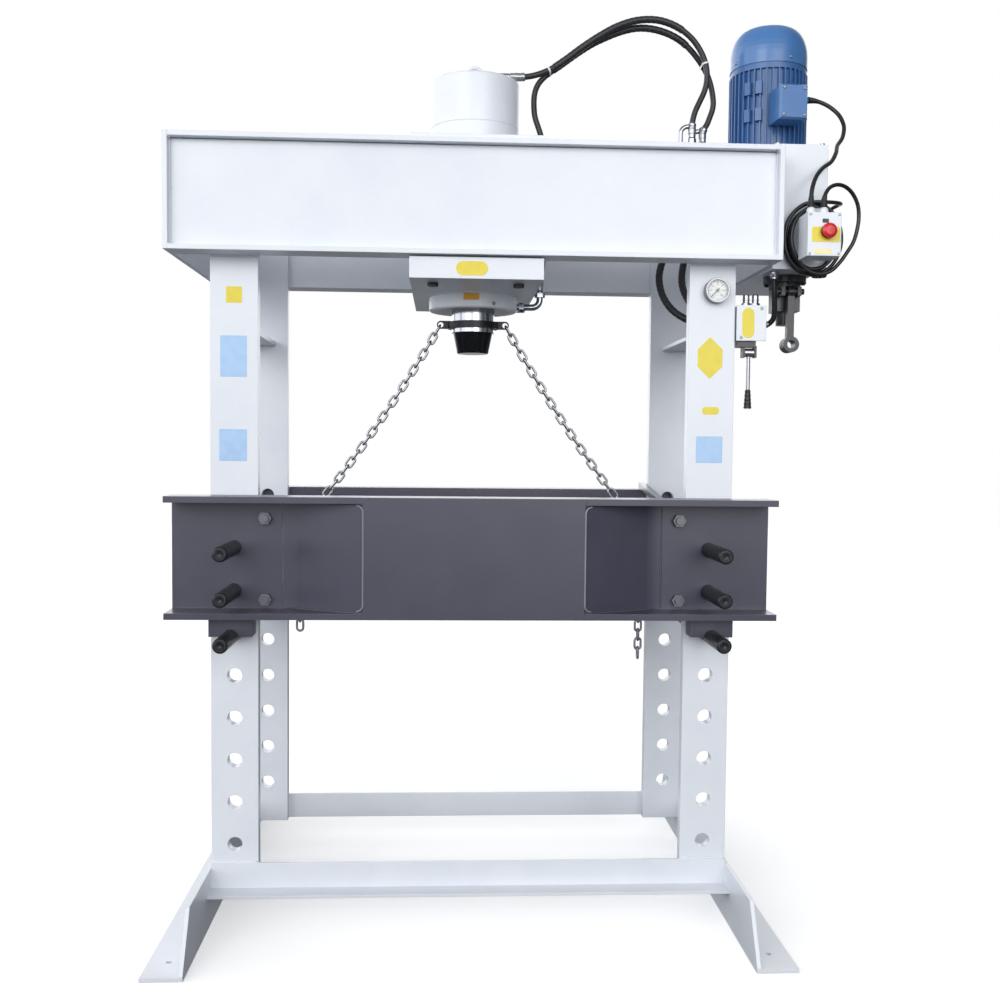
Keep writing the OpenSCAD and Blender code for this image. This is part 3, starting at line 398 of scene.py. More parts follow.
def tapered(s):
    """A moulded sleeve that narrows from 9 mm to the lead's own radius; s runs from 0 to 1."""
    rings = 0.5 * np.cos(s * 2 * np.pi * 6) * (s < 0.85)
    return (9.0 - 3.4 * s + rings) * MM


def collar(name, path, start, length, radius_rule, hint, body, finish):
    """A tube along part of a path whose radius follows a rule of the share of its length."""
    part = part_of(path, start, length, MM)
    return keep(skin(name, tube(part, radius_rule(np.linspace(0, 1, len(part))), 24, hint)), body, finish)


hose_ends = [
    ("advance_top", advance_path, "carriage", along_y),
    ("advance_end", advance_path[::-1], "frame", along_y),
    ("return_side", return_path, "carriage", along_y),
    ("return_end", return_path[::-1], "frame", along_y)]
for number, (piece, path) in enumerate(lower_hoses):
    hose_ends.append((f"lower_{number + 1}_top", path, "frame", along_x))
    hose_ends.append((f"lower_{number + 1}_valve", path[::-1], "frame", along_x))
for name, path, body, hint in hose_ends:
    collar("ferrule_" + name, path, 1 * MM, 42 * MM, crimped, hint, body, "zinc")
cable_ends = [
    ("mains_lead", mains_path),
    ("motor_cable", motor_cable_path),
    ("starter", motor_cable_path[::-1])]
for name, path in cable_ends:
    collar("sleeve_" + name, path, 0, 30 * MM, tapered, along_y, "frame", "black_plastic")
print("ferrules:", len(hose_ends), "sleeves:", len(cable_ends))

# %% Hose ties


def bars(name, centres, along, across, rise):
    """Thin blocks in one mesh: each has a centre and three half edges, and its six faces point outwards."""
    square = [(-1, -1), (1, -1), (1, 1), (-1, 1)]
    signs = np.array([(*corner, level) for level in (-1, 1) for corner in square])
    edges = np.stack(np.broadcast_arrays(along, across, rise), axis=1)
    edges = np.broadcast_to(edges, (len(centres), 3, 3))
    points = np.asarray(centres)[:, None, :] + np.einsum("ks,nsx->nkx", signs, edges)
    sides = np.array([[3, 2, 1, 0], [4, 5, 6, 7], [0, 1, 5, 4], [1, 2, 6, 5], [2, 3, 7, 6], [3, 0, 4, 7]])
    faces = (np.arange(len(centres))[:, None, None] * 8 + sides).reshape(-1, 4).tolist()
    return new_piece(name, points, faces)


def hose_tie(name, first, second, ahead, body):
    """A band 5 mm wide on the oval round two hoses, of half circles and straight runs, with a square head."""
    middle = (first + second) / 2
    side = unit(second - first - ahead * np.dot(second - first, ahead))
    spread = np.dot(second - first, side) / 2
    up = np.cross(ahead, side)
    turn = np.linspace(0, 2 * np.pi, 48, endpoint=False)[:, None, None]
    profile = mm([[0, -2.5], [1.2, -2.5], [1.2, 2.5], [0, 2.5]])
    reach = hose_radius + profile[None, :, :1]
    shift = np.sign(np.cos(turn)) * spread
    outline = (np.cos(turn) * reach + shift) * side + np.sin(turn) * reach * up
    grid = middle + outline + profile[None, :, 1:] * ahead
    keep(skin(name, grid, caps=False, closed=True), body, "pale_plastic")
    place = (middle + (hose_radius + 2.5 * MM) * up)[None]
    head = bars(name + "_head", place, 3.5 * MM * side[None], 2.8 * MM * ahead[None], 2.2 * MM * up[None])
    keep(head, body, "pale_plastic")


def tie_at(name, row, body):
    """Ties the two hoses where the first path has this row, at the nearest point of the second path."""
    here = advance_path[row]
    there = return_path[np.linalg.norm(return_path - here, axis=1).argmin()]
    hose_tie(name, here, there, unit(advance_path[row + 1] - advance_path[row - 1]), body)


rising = int(np.abs(advance_path[:, 0] - 205 * MM).argmin())
falling = len(advance_path) - 1 - int(np.abs(advance_path[::-1, 2] - 2310 * MM)[:60].argmin())
tie_at("hose_tie_rising", rising, "carriage")
tie_at("hose_tie_falling", falling, "frame")
print("ties at", advance_path[rising].round(3), advance_path[falling].round(3))

# %% [markdown]
# ## Blank plates
# Thin plates are stuck on the uprights, carriage, cylinder, valve and starter; here they are blank.
# A plate could be a scaled cube; rows of a rounded outline give it a soft rim and let it follow the cylinder.
# The same formula makes the smooth panels of the head and of the table's middle, at the front and the back.

# %% Plates


def rounded(x0, x1, z0, z1, corner):
    """A rectangle's outline with round corners, eight points to a corner, anticlockwise from the right."""
    turn = np.linspace(0, np.pi / 2, 8)[None, :] + np.arange(4)[:, None] * np.pi / 2
    centre_x = np.array([x1 - corner, x0 + corner, x0 + corner, x1 - corner])[:, None]
    centre_z = np.array([z1 - corner, z1 - corner, z0 + corner, z0 + corner])[:, None]
    outline = np.stack([centre_x + corner * np.cos(turn), centre_z + corner * np.sin(turn)], axis=-1)
    return outline.reshape(-1, 2) * MM


def even_outline(outline, count):
    """The same closed outline with its points spread evenly along it."""
    ring = np.concatenate([outline, outline[:1]])
    run = np.concatenate([[0], np.cumsum(np.linalg.norm(np.diff(ring, axis=0), axis=1))])
    even = np.linspace(0, run[-1], count, endpoint=False)
    return np.stack([np.interp(even, run, ring[:, axis]) for axis in range(2)], axis=1)


def plate(name, outline, face_y, thick, body, finish, round_r=None, facing=-1):
    """A thin plate that faces -Y, or +Y where facing is 1: its outline stands on the face, steps in over
    a soft rim and closes at its middle. With round_r it lies on a cylinder of that radius round Z."""
    if round_r is not None:
        outline = even_outline(outline, 120)
    middle = outline.mean(axis=0)
    size = np.ptp(outline, axis=0)
    rim = 1 - 1.2 * MM / size
    shares = [1.0, 1.0] + [share * rim for share in (1, 0.8, 0.4, 0.02)]
    flat = np.stack([middle + (outline - middle) * share for share in shares])
    height = thick * np.array([0, 0.65, 1, 1, 1, 1])[:, None]
    base = face_y if round_r is None else -np.sqrt(round_r ** 2 - flat[..., 0] ** 2)
    grid = np.stack([flat[..., 0], base + facing * height + 0 * flat[..., 0], flat[..., 1]], axis=-1)
    piece = skin(name, grid[:, ::-facing])
    if round_r is None:
        piece.data.shade_flat()
    return keep(piece, body, finish)


upright_face = -280 * MM
starter_y = -400
cylinder_radius = 123
hexagon_plate = mm([
    [639, 1450], [639, 1494], [606, 1526], [574, 1494], [574, 1450], [606, 1418]])
plates = [
    ("plate_left_top", rounded(-630, -590, 1594, 1635, 3), upright_face, "frame", "yellow_plate"),
    ("plate_left_middle", rounded(-645, -578, 1408, 1512, 3), upright_face, "frame", "pale_blue_plate"),
    ("plate_left_low", rounded(-648, -578, 1195, 1276, 3), upright_face, "frame", "pale_blue_plate"),
    ("plate_right_top", hexagon_plate, upright_face, "frame", "yellow_plate"),
    ("plate_right_middle", rounded(588, 633, 1326, 1346, 9.9), upright_face, "frame", "yellow_plate"),
    ("plate_right_low", rounded(574, 643, 1201, 1270, 3), upright_face, "frame", "pale_blue_plate"),
    ("plate_carriage", rounded(-52, 28, 1663, 1698, 17), -345 * MM, "carriage", "yellow_plate"),
    ("plate_valve", rounded(686, 718, 1524, 1601, 15.9), -290 * MM, "frame", "yellow_plate"),
    ("plate_stop", rounded(826, 897, 1752, 1789, 5), starter_y * MM, "frame", "yellow_plate"),
    ("plate_starter_low", rounded(832, 878, 1722, 1736, 6.9), starter_y * MM, "frame", "cream_plate"),
    ("starter_window", rounded(852, 868, 1799, 1809, 2), starter_y * MM, "frame", "black_plastic")]
for name, outline, face_y, body, finish in plates:
    plate(name, outline, face_y, 0.5 * MM, body, finish)
plate("plate_cylinder", rounded(-29, 14, 1632, 1650, 2), 0, 0.9 * MM, "carriage", "amber_plate",
      round_r=cylinder_radius * MM)
table_panel = even_outline(rounded(-276, 276, 804.5, 1108.5, 4), 240)
head_panel = rounded(-755.8, 755.8, 1726.2, 1984.8, 2)
for face, way in (("front", -1), ("rear", 1)):
    plate(f"table_panel_{face}", table_panel, way * 380 * MM, 1.6 * MM, "frame", "slate_paint", facing=way)
    plate(f"head_panel_{face}", head_panel, way * 290 * MM, 46 * MM, "frame", "white_paint", facing=way)
print("plates:", len(plates) + 5)

# %% [markdown]
# ## The gauge
# The pressure gauge has a white dial with 31 printed marks and numbers, behind the needle and under a glass.
# Marks are thin blocks laid on the dial; numbers are Blender's own font, turned into a mesh and then placed.
# The scale runs clockwise over three quarters of a turn, from lower left to lower right, as the needle does.

# %% Dial, marks and glass
gauge_centre = mm([618, -296, 1643])
towards = np.array([0.0, -1.0, 0.0])
dial_profile = mm([[26.8, 0], [26.8, 0.3], [26.2, 0.6], [13, 0.6], [4.2, 0.6], [4.0, 0.1]])
lathe("gauge_dial", dial_profile, 72, gauge_centre, towards, "frame", "white_dial")
dial_top = gauge_centre + 0.7 * MM * towards
mark_number = np.arange(31)
mark_turn = np.radians(225 - 9 * mark_number)
outward = np.stack([np.cos(mark_turn), 0 * mark_turn, np.sin(mark_turn)], axis=1)
aside = np.cross(towards, outward)
long_mark = (mark_number % 5 == 0)[:, None]
mark_half = np.where(long_mark, 2.6, 1.5) * MM
mark_centres = dial_top + (25.0 * MM - mark_half) * outward
marks = bars("gauge_marks", mark_centres, mark_half * outward, np.where(long_mark, 0.5, 0.3) * MM * aside,
             0.12 * MM * towards)
keep(marks, "frame", "black_plastic")


def number_piece(name, text, size, place):
    """Letters of the built-in font as a mesh that faces -Y."""
    curve = bpy.data.curves.new(name, "FONT")
    curve.body = text
    curve.size = size
    curve.align_x = "CENTER"
    curve.align_y = "CENTER"
    curve.extrude = 0.1 * MM
    holder = bpy.data.objects.new(name + "_text", curve)
    scene.collection.objects.link(holder)
    mesh = bpy.data.meshes.new_from_object(holder.evaluated_get(bpy.context.evaluated_depsgraph_get()))
    bpy.data.objects.remove(holder)
    mesh.transform(Matrix.Translation(place) @ Matrix.Rotation(np.pi / 2, 4, "X"))
    mesh.name = name
    piece = bpy.data.objects.new(name, mesh)
    scene.collection.objects.link(piece)
    return piece


for number in range(7):
    place = dial_top + 16.2 * MM * outward[5 * number]
    keep(number_piece(f"gauge_number_{number}", str(10 * number), 5.2 * MM, place), "frame", "black_plastic")
glass_profile = mm([[26.9, 8.0], [26.9, 8.8], [20, 9.2], [10, 9.5], [0.2, 9.6]])
lathe("gauge_glass", glass_profile, 72, gauge_centre, towards, "frame", "gauge_glass")
print("gauge marks:", len(mark_turn))

# %% [markdown]
# ## Screws and bolts
# Covers and boxes are held by round-headed socket screws, the pump flange and tank top by hexagon heads.
# Each is a lathe profile in which some rings are pulled into a hexagon: one formula makes head and socket.

# %% Screws
socket_rings = np.array([
    [1, 0], [1, 0.35], [0.92, 0.7], [0.72, 0.95], [0.5, 1], [0.46, 0.96], [0.44, 0.4], [0.02, 0.38]])
socket_six = np.array([0, 0, 0, 0, 0, 0.9, 1, 1])
hex_rings = np.array([
    [1.35, 0], [1.35, 0.14], [1.28, 0.2], [1, 0.22], [1, 0.88], [0.9, 1], [0.4, 1], [0.02, 1]])
hex_six = np.array([0, 0, 0, 1, 1, 0.15, 0, 0])
motor_centre = np.array([830, 20, 0])
motor_circle = 107
pump_centre = np.array([844, -130, 0])
tank_top = 2025


def screw(name, place, axis, radius, height, body, finish, hexagon=False):
    """A screw head of one radius and height that stands on a face with this outward axis."""
    rings = hex_rings if hexagon else socket_rings
    six = hex_six if hexagon else socket_six
    profile = mm(rings * np.array([radius, height]))
    lathe(name, profile, 36, mm(place), axis, body, finish, six)


def around(centre, radius, z, degrees):
    """Places on a level circle round a centre, each with its outward direction."""
    turn = np.radians(degrees)
    away = np.stack([np.cos(turn), np.sin(turn), 0 * turn], axis=1)
    return [(centre + radius * way + np.array([0, 0, z]), way) for way in away]


lid_turn = np.radians(6)
lid_out = np.array([np.sin(lid_turn), -np.cos(lid_turn), 0])
lid_side = np.array([np.cos(lid_turn), np.sin(lid_turn), 0])
lid_centre = motor_centre + 186 * lid_out
lid_places = [lid_centre + x * lid_side + np.array([0, 0, z]) for z in (2132.5, 2202.5) for x in (-29, 29)]
valve_places = [(684, -288.6, 1525), (737, -288.6, 1600)]
starter_places = [(x, starter_y, z) for z in (1723.5, 1819.5) for x in (821.5, 894.5)]
tank_places = [(x, y, tank_top) for y in (-258, -150, 218) for x in (780, 896)]
pump_places = [place for place, away in around(pump_centre, 49.5, 1687, np.arange(6) * 60 + 30)]
motor_places = [place for place, away in around(motor_centre, motor_circle, 2033, [45, 135, 225, 315])]
screw_sets = [
    ("valve_screw", [(place, towards) for place in valve_places], 3.8, 2.6, "zinc", False),
    ("starter_screw", [(place, towards) for place in starter_places], 3.2, 2.0, "zinc", False),
    ("terminal_screw", [(place, lid_out) for place in lid_places], 4.2, 3.0, "zinc", False),
    ("cowl_screw", around(motor_centre, motor_circle, 2313, [-72, 18, 108, 198]), 4.6, 3.0, "zinc", False),
    ("tank_bolt", [(place, upwards) for place in tank_places], 6.5, 5.5, "zinc", True),
    ("pump_bolt", [(place, downwards) for place in pump_places], 5.5, 6.0, "black_steel", True),
    ("motor_bolt", [(place, upwards) for place in motor_places], 5.0, 5.0, "zinc", True)]
for label, places, radius, height, finish, hexagon in screw_sets:
    for number, (place, axis) in enumerate(places):
        screw(f"{label}_{number + 1}", place, axis, radius, height, "frame", finish, hexagon)
plug_away = np.array([53, -111, 0]) / cylinder_radius
screw("cylinder_screw", cylinder_radius * plug_away + np.array([0, 0, 1625]), plug_away, 5, 3.0,
      "carriage", "zinc")
print("screws:", sum(len(entry[1]) for entry in screw_sets) + 1)

# %% [markdown]
# ## Lever grip, pin ends, button seat, fittings and flange
# The valve lever ends in a black grip with finger grooves; each table pin has a faced end with a centre hole.
# The stop button sits on a black seat ring, the valve has chromed fittings and the motor stands on a flange.
# All of them are round or six-sided, so each is turned from a short profile.

# %% Turned details
grip_z = np.linspace(3, 45, 64)
grip_r = 10.0 - 3.0 * grip_z / 48 + 0.4 * np.cos((grip_z - 3) / 10.5 * 2 * np.pi)
grip_profile = np.concatenate([
    [[0.3, -0.6], [5, -0.5], [8, 0.3], [9.8, 1.6]],
    np.stack([grip_r, grip_z], axis=1),
    [[6.6, 47.6], [6.1, 49], [5.0, 49.6]]]) * MM
grip_place = mm([711, -265, 1343])
lathe("lever_grip", grip_profile, 32, grip_place, upwards, "valve_lever", "black_plastic")
face_profile = mm([
    [15.6, 0], [15.5, 0.35], [14.6, 0.5], [13.2, 0.5], [13.0, 0.3], [12.4, 0.3], [12.2, 0.5], [4.6, 0.5],
    [3.4, 0.25], [2.0, 0.1], [0.1, 0.05]])
pin_z = {"lower": 755, "middle": 865, "upper": 975}
for side, x in (("left", -610), ("right", 610)):
    for level, z in pin_z.items():
        name = f"{side}_{level}_pin"
        place = mm([x, -470, z])
        lathe(name + "_face", face_profile, 48, place, towards, name, "black_steel")
seat_profile = mm([[17.5, 0], [17.5, 0.7], [16.9, 1.1], [13, 1.3], [11.6, 1.3], [11.6, 0]])
stop_place = mm([866, starter_y - 0.6, 1778])
lathe("stop_seat", seat_profile, 48, stop_place, towards, "frame", "black_plastic", ring=True)
fitting_profile = mm([
    [12.7, 0], [12.7, 10.5], [11.5, 12.4], [9.2, 12.6], [8.6, 13.4], [8.6, 18], [9.4, 19], [9.4, 22],
    [8.6, 23], [8.6, 31], [7.8, 33.4], [5.6, 35], [0.2, 35.4]])
fitting_six = np.array([1, 1, 0.2] + [0] * 10)
for number, x in enumerate((703, 727)):
    place = mm([x, -261, 1604])
    name = f"valve_fitting_{number + 1}"
    lathe(name, fitting_profile, 48, place, upwards, "frame", "chrome_plate", fitting_six)
nut_profile = mm([[7.2, 0], [11.5, 0], [11.5, 13], [10, 14], [8.6, 14.4], [8.2, 19], [7.2, 19.4]])
nut_six = np.array([0, 0.9, 1, 0.3, 0, 0, 0])
pipe_ends = [("valve", tank_pipe_route[0], along_x), ("tank", tank_pipe_route[-1], downwards)]
for name, place, axis in pipe_ends:
    lathe(f"tank_pipe_nut_{name}", nut_profile, 48, place, axis, "frame", "chrome_plate", nut_six, ring=True)
flange_profile = mm([[100.4, 0], [114, 0], [114, 6.4], [112.6, 8], [100.4, 8]])
flange_place = mm(motor_centre + np.array([0, 0, tank_top]))
lathe("motor_flange", flange_profile, 96, flange_place, upwards, "frame", "white_paint", ring=True)
print("turned details made")

# %% [markdown]
# ## Weld beads
# The frame is welded, so a rippled bead fills each inner corner where plates meet and is painted with them.
# A bead could be a plain fillet; ripples are what the eye reads as welding, so the radius swells every 6 mm.
# A real ripple is about 2 mm apart; it is drawn three times as coarse so that it shows.

# %% Beads
ripple = 6 * MM


def bead(name, points, radius, body, finish):
    """A tube along straight stretches, half sunk in its corner, with a radius that swells along it."""
    points = mm(points)
    path = part_of(points, 0, path_length(points), 1.5 * MM)
    run = np.arange(len(path)) * 1.5 * MM
    ahead = unit(path[-1] - path[0])
    hint = upwards if abs(ahead[2]) < 0.9 else along_y
    swell = 1 + 0.13 * np.sin(run / ripple * 2 * np.pi) + 0.07 * np.sin(run / (17 * MM) * 2 * np.pi)
    ends = np.clip(np.minimum(run, run[-1] - run) / (3 * MM), 0.15, 1) ** 0.5
    return keep(skin(name, tube(path, radius * MM * swell * ends, 10, hint)), body, finish)


def ring_bead(name, round_r, z, radius, body, finish):
    """A closed bead round the cylinder's axis at one height."""
    turn = np.linspace(0, 2 * np.pi, 360, endpoint=False)[:, None]
    ripples = round(2 * np.pi * round_r * MM / ripple)
    swell = radius * (1 + 0.13 * np.sin(ripples * turn))
    about = np.linspace(0, 2 * np.pi, 10, endpoint=False)[None, :]
    reach = round_r + swell * np.cos(about)
    grid = np.stack([reach * np.cos(turn), reach * np.sin(turn), z - swell * np.sin(about)], axis=-1) * MM
    return keep(skin(name, grid, caps=False, closed=True), body, finish)


frame_lines = {
    "foot": [(669.5, 289, 94), (669.5, 289, 144)],
    "foot_side": [(671, 278, 146), (671, 252, 146)],
    "stretcher": [(553, 281, 158.5), (667, 281, 158.5)],
    "head_low": [(553, 281, 1712), (667, 281, 1712)],
    "head_end": [(755, 337, 1727), (755, 337, 1984)],
    "head_flange": [(755, 338, 1726), (755, 358, 1726)],
    "head_roof": [(755, 338, 1985), (755, 358, 1985)],
    "tie_top": [(588, 249, 1546), (667, 249, 1546)],
    "tie_low": [(588, 249, 1534), (667, 249, 1534)]}
table_lines = {
    "wing_low": [(278, 379, 820.5), (463, 291, 820.5)],
    "wing_top": [(278, 379, 1092.5), (463, 291, 1092.5)],
    "saddle": [(558, 340.5, 803.5), (662, 340.5, 803.5)]}
bead_sets = [(frame_lines, 3.6, "white_paint"), (table_lines, 3.2, "slate_paint")]
quarters = [
    (side, sign_x, face, sign_y)
    for side, sign_x in (("left", -1), ("right", 1))
    for face, sign_y in (("front", -1), ("rear", 1))]
for lines, radius, finish in bead_sets:
    for name, line in lines.items():
        for side, sign_x, face, sign_y in quarters:
            mirrored = np.array(line) * np.array([sign_x, sign_y, 1])
            bead(f"weld_{side}_{name}_{face}", mirrored, radius, "frame", finish)
ring_beads = [
    ("cylinder_top", cylinder_radius + 1, 2010.8, 4.0),
    ("cylinder_low", cylinder_radius + 1, 1654.5, 4.0),
    ("lifting_eye", 16.5, 2240.5, 2.5)]
for name, round_r, z, radius in ring_beads:
    ring_bead("weld_" + name, round_r, z, radius, "carriage", "white_paint")
print("beads:", 4 * len(frame_lines) + 4 * len(table_lines) + len(ring_beads))

# %% [markdown]
# ## Folds and lips of the table
# Each side of the table front is folded inwards in a soft bend, and the middle panel's rim has a pale painted
# highlight.
# The bend could be a bevel on the CAD mesh, but that stays as it is; a thin wedge with an arc fills it.
# The rim is a half-round lip that runs down the panel's edge and turns back into the fold at its two ends.

# %% Folds and lips
fold_corner = np.array([464.0, 290.0])
wing_way = unit(np.array([-186.0, 89.0]))
fold_reach = 24.0
share = np.linspace(0, 1, 13)[:, None]
fold_start = fold_corner + fold_reach * np.array([1.0, 0.0])
fold_end = fold_corner + fold_reach * wing_way
fold_pull = fold_corner + np.array([0, 0.8])
fold_arc = (1 - share) ** 2 * fold_start + 2 * share * (1 - share) * fold_pull + share ** 2 * fold_end
fold_ring = np.concatenate([fold_arc, [fold_corner - np.array([0, 1.5])]])
fold_ends = np.array([821.0, 1092.0])


def fold_piece(name, sign_x, sign_y):
    """The wedge's outline in X and Y stands at two heights; its order keeps mirrored faces outwards."""
    ring = fold_ring[:: sign_x * sign_y] * np.array([sign_x, sign_y])
    level = np.ones((len(ring), 1))
    grid = np.stack([np.concatenate([ring, level * z], axis=1) for z in fold_ends])
    return keep(skin(name, grid * MM), "frame", "slate_paint")


def lip(name, sign_x, sign_y):
    """A tube of 2.4 mm in radius along the panel's edge, whose ends curve back along the wing."""
    turn = np.linspace(0, np.pi / 2, 9)
    corner = 16.0
    wing_slope = 0.478
    back = corner * (1 - np.sin(turn))
    rise = corner * (1 - np.cos(turn))
    top = np.stack([277 + back, 381 - wing_slope * back, 1088 - rise], axis=1)
    low = np.stack([277 + back, 381 - wing_slope * back, 825 + rise], axis=1)[::-1]
    points = mm(np.concatenate([top, low]) * np.array([sign_x, sign_y, 1]))
    path = part_of(points, 0, path_length(points), 2 * MM)
    # The lip's pale slate coat is a painted highlight.
    return keep(skin(name, tube(path, 2.4 * MM, 12, along_y)), "frame", "slate_highlight_paint")


for side, sign_x, face, sign_y in quarters:
    fold_piece(f"table_fold_{side}_{face}", sign_x, sign_y)
    lip(f"table_lip_{side}_{face}", sign_x, sign_y)
print("folds and lips:", 2 * len(quarters))

# %% [markdown]
# ## Chromed risers
# Beside each hose end a chromed pipe comes up through the head and bends over to the fitting under the hose.
# It is a tube along two straight runs joined by a quarter circle, with a hexagon nut where it ends.

# %% Risers
riser_nut = mm([[6.9, -10], [10.6, -10], [10.6, -1], [9.6, 0], [6.9, 0]])
riser_six = np.array([0, 1, 1, 0.3, 0])
riser_run = 12
riser_bend = 20
turn = np.linspace(0, np.pi / 2, 12)
for number, (x, y, z) in enumerate([(606, -22, 2134), (646, 22, 2134)]):
    bend_x = x - riser_run - riser_bend * np.sin(turn)
    bend = np.stack([bend_x, y + 0 * turn, z - riser_bend * (1 - np.cos(turn))], axis=1)
    route = np.concatenate([[[x, y, z]], bend, [[x - riser_run - riser_bend, y, 1990]]]) * MM
    riser = part_of(route, 0, path_length(route), 2 * MM)
    keep(skin(f"riser_{number + 1}", tube(riser, 6.5 * MM, 20, along_y)), "frame", "chrome_plate")
    name = f"riser_nut_{number + 1}"
    place = mm([x - 11, y, z])
    lathe(name, riser_nut, 36, place, (-1, 0, 0), "frame", "chrome_plate", riser_six, ring=True)
print("risers: 2")

# %% [markdown]
# ## Colour and node helpers
# Colours are read off as screen values, which Blender needs in linear light.
# One small function adds a shader node, sets it up and links it, so a finish reads like a short recipe.
# The coordinates are metres, so a pattern of one size in millimetres fits 1000 / size times into one unit.

# %% Colour and nodes


def linear(hex_text):
    """Screen colour as six hex digits to linear red, green, blue and 1."""
    srgb = np.array([int(hex_text[i:i + 2], 16) for i in (0, 2, 4)]) / 255
    light = np.where(srgb <= 0.04045, srgb / 12.92, ((srgb + 0.055) / 1.055) ** 2.4)
    return (*light.tolist(), 1.0)


def add(owner, kind, settings, sockets):
    """Adds a node of one kind, sets it up, and fills its sockets with values or with other nodes' outputs."""
    node = owner.node_tree.nodes.new("ShaderNode" + kind)
    for name, value in settings.items():
        setattr(node, name, value)
    for name, value in sockets.items():
        if isinstance(value, bpy.types.NodeSocket):
            owner.node_tree.links.new(value, node.inputs[name])
        else:
            node.inputs[name].default_value = value
    return node


def new_finish(name):
    """A new material with an empty node tree, ready for a recipe."""
    material = bpy.data.materials.new(name)
    material.use_nodes = True
    material.node_tree.nodes.clear()
    return material


def covered(material, sockets):
    """Ends a recipe: the principled shader with its sockets, on the material's output."""
    shader = add(material, "BsdfPrincipled", {}, sockets)
    add(material, "OutputMaterial", {}, {"Surface": shader.outputs["BSDF"]})
    return material


mix_factor, mix_a, mix_b, mix_result = 0, 6, 7, 2


def noise(owner, vector, size_mm, detail, roughness=0.5):
    """Noise in lumps of about this size; its scale is how often the size fits into one metre."""
    sockets = {"Vector": vector, "Scale": 1000 / size_mm, "Detail": detail, "Roughness": roughness}
    return add(owner, "TexNoise", {}, sockets).outputs["Fac"]


def ranged(owner, value, low, high, start=0.0, end=1.0, smooth=False):
    """Maps a value between low and high to one between start and end, and no further."""
    settings = {"interpolation_type": "SMOOTHSTEP" if smooth else "LINEAR"}
    sockets = {"Value": value, "From Min": low, "From Max": high, "To Min": start, "To Max": end}
    return add(owner, "MapRange", settings, sockets).outputs["Result"]


def blended(owner, factor, first, second):
    """The first colour where the factor is 0, the second where it is 1."""
    sockets = {mix_factor: factor, mix_a: first, mix_b: second}
    return add(owner, "Mix", {"data_type": "RGBA"}, sockets).outputs[mix_result]


def bumped(owner, height, strength, depth_mm, normal):
    """The normal, tilted as if the height reached this deep."""
    sockets = {"Height": height, "Strength": strength, "Distance": depth_mm * MM, "Normal": normal}
    return add(owner, "Bump", {}, sockets).outputs["Normal"]


def softened(owner, edge_mm):
    """The normal of edges rounded by this radius."""
    return add(owner, "Bevel", {"samples": 4}, {"Radius": edge_mm * MM}).outputs["Normal"]


def edge_wear_and_highlight(owner, soft, full_at, most):
    """How much an edge is painted lighter, as wear and as a painted highlight, from the cosine between its
    softened normal and the face's own.
    """
    flat = add(owner, "NewGeometry", {}, {}).outputs["Normal"]
    facing = add(owner, "VectorMath", {"operation": "DOT_PRODUCT"}, {0: soft, 1: flat})
    return ranged(owner, facing.outputs["Value"], 0.97, full_at, 0.0, most)


print("colour helpers ready")

# %% [markdown]
# ## Painted steel
# The frame is welded steel sprayed with white enamel; the table is the same steel in a dark slate coat.
# Up close a sprayed coat has a faint orange peel and rolled plate waves a little; its sharp edges are painted
# lighter, partly as worn paint and partly as a painted highlight.
# The edges are rounded in the shader by a bevel normal, because the CAD meshes are kept as they are.

# %% Paint recipe


def sprayed_paint(name, shade, deep, edge_wear_and_highlight_shade, roughness, wave_mm, peel_mm, peel, edge_mm, most_wear_and_highlight):
    """Enamel on steel: cloudy patches, slow plate waves, orange peel, and sharp edges painted lighter as wear
    and as a painted highlight.
    """
    material = new_finish(name)
    place = add(material, "TexCoord", {}, {}).outputs["Object"]
    patches = noise(material, place, 140, 5.0, 0.6)
    body = blended(material, ranged(material, patches, 0.35, 0.65), linear(deep), linear(shade))
    soft = softened(material, edge_mm)
    # Sharp edges get a lighter colour here: partly wear, partly a painted highlight.
    worn_and_lit = edge_wear_and_highlight(material, soft, 0.80, most_wear_and_highlight)
    slow = bumped(material, noise(material, place, wave_mm, 1.0), 0.25, 1.2, soft)
    return covered(material, {
        "Base Color": blended(material, worn_and_lit, body, linear(edge_wear_and_highlight_shade)),
        "Roughness": ranged(material, patches, 0.0, 1.0, roughness - 0.07, roughness + 0.07),
        "Normal": bumped(material, noise(material, place, peel_mm, 2.0), peel, 0.15, slow),
        "Coat Weight": 0.2, "Coat Roughness": 0.2})


# The eye sees a cool white, even and satin; the brighter lines along the edges of plates are painted
# highlights.
# Orange peel is about 1.5 mm across; it is drawn 4 mm across so that it shows.
white_paint = sprayed_paint(
    "white_enamel_sprayed_on_steel", "E0E4EA", "DADFE6", "EDF0F4", 0.36, 120, 4, 0.3, 2.5, 0.7)
# The eye sees a dark violet grey whose edges are painted pale, partly as wear from handling and partly as a
# painted highlight.
slate_paint = sprayed_paint(
    "slate_enamel_sprayed_on_steel", "444453", "3F3F4E", "84838F", 0.38, 90, 4, 0.4, 2.2, 0.8)
# The eye sees a pale slate on the lips of the middle panel; this pale coat is a painted highlight.
slate_highlight_paint = sprayed_paint(
    "slate_enamel_painted_highlight", "85848F", "777682", "A5A4AE", 0.34, 60, 3, 0.4, 1.5, 0.6)
# The eye sees a clear blue over the coarse skin of a sand casting, about 3 mm from lump to lump.
blue_paint = sprayed_paint(
    "blue_enamel_on_sand_casting", "38649C", "325C92", "779FD0", 0.34, 60, 3, 0.8, 1.3, 0.6)
# The eye sees the same blue, glossier, on the smooth pressed cowl and the terminal box; its lighter shade is
# painted light.
blue_cowl_painted_light = sprayed_paint(
    "blue_enamel_on_pressed_steel", "4676AF", "406FA7", "8DB2DE", 0.22, 90, 4, 0.2, 1.6, 0.6)
# The eye sees black paint, thick in the corners and satin, on the rough skin of a casting.
cast_black = sprayed_paint(
    "black_paint_on_sand_casting", "232427", "1A1B1D", "64656A", 0.36, 40, 3, 0.9, 1.4, 0.75)
print("paints made")
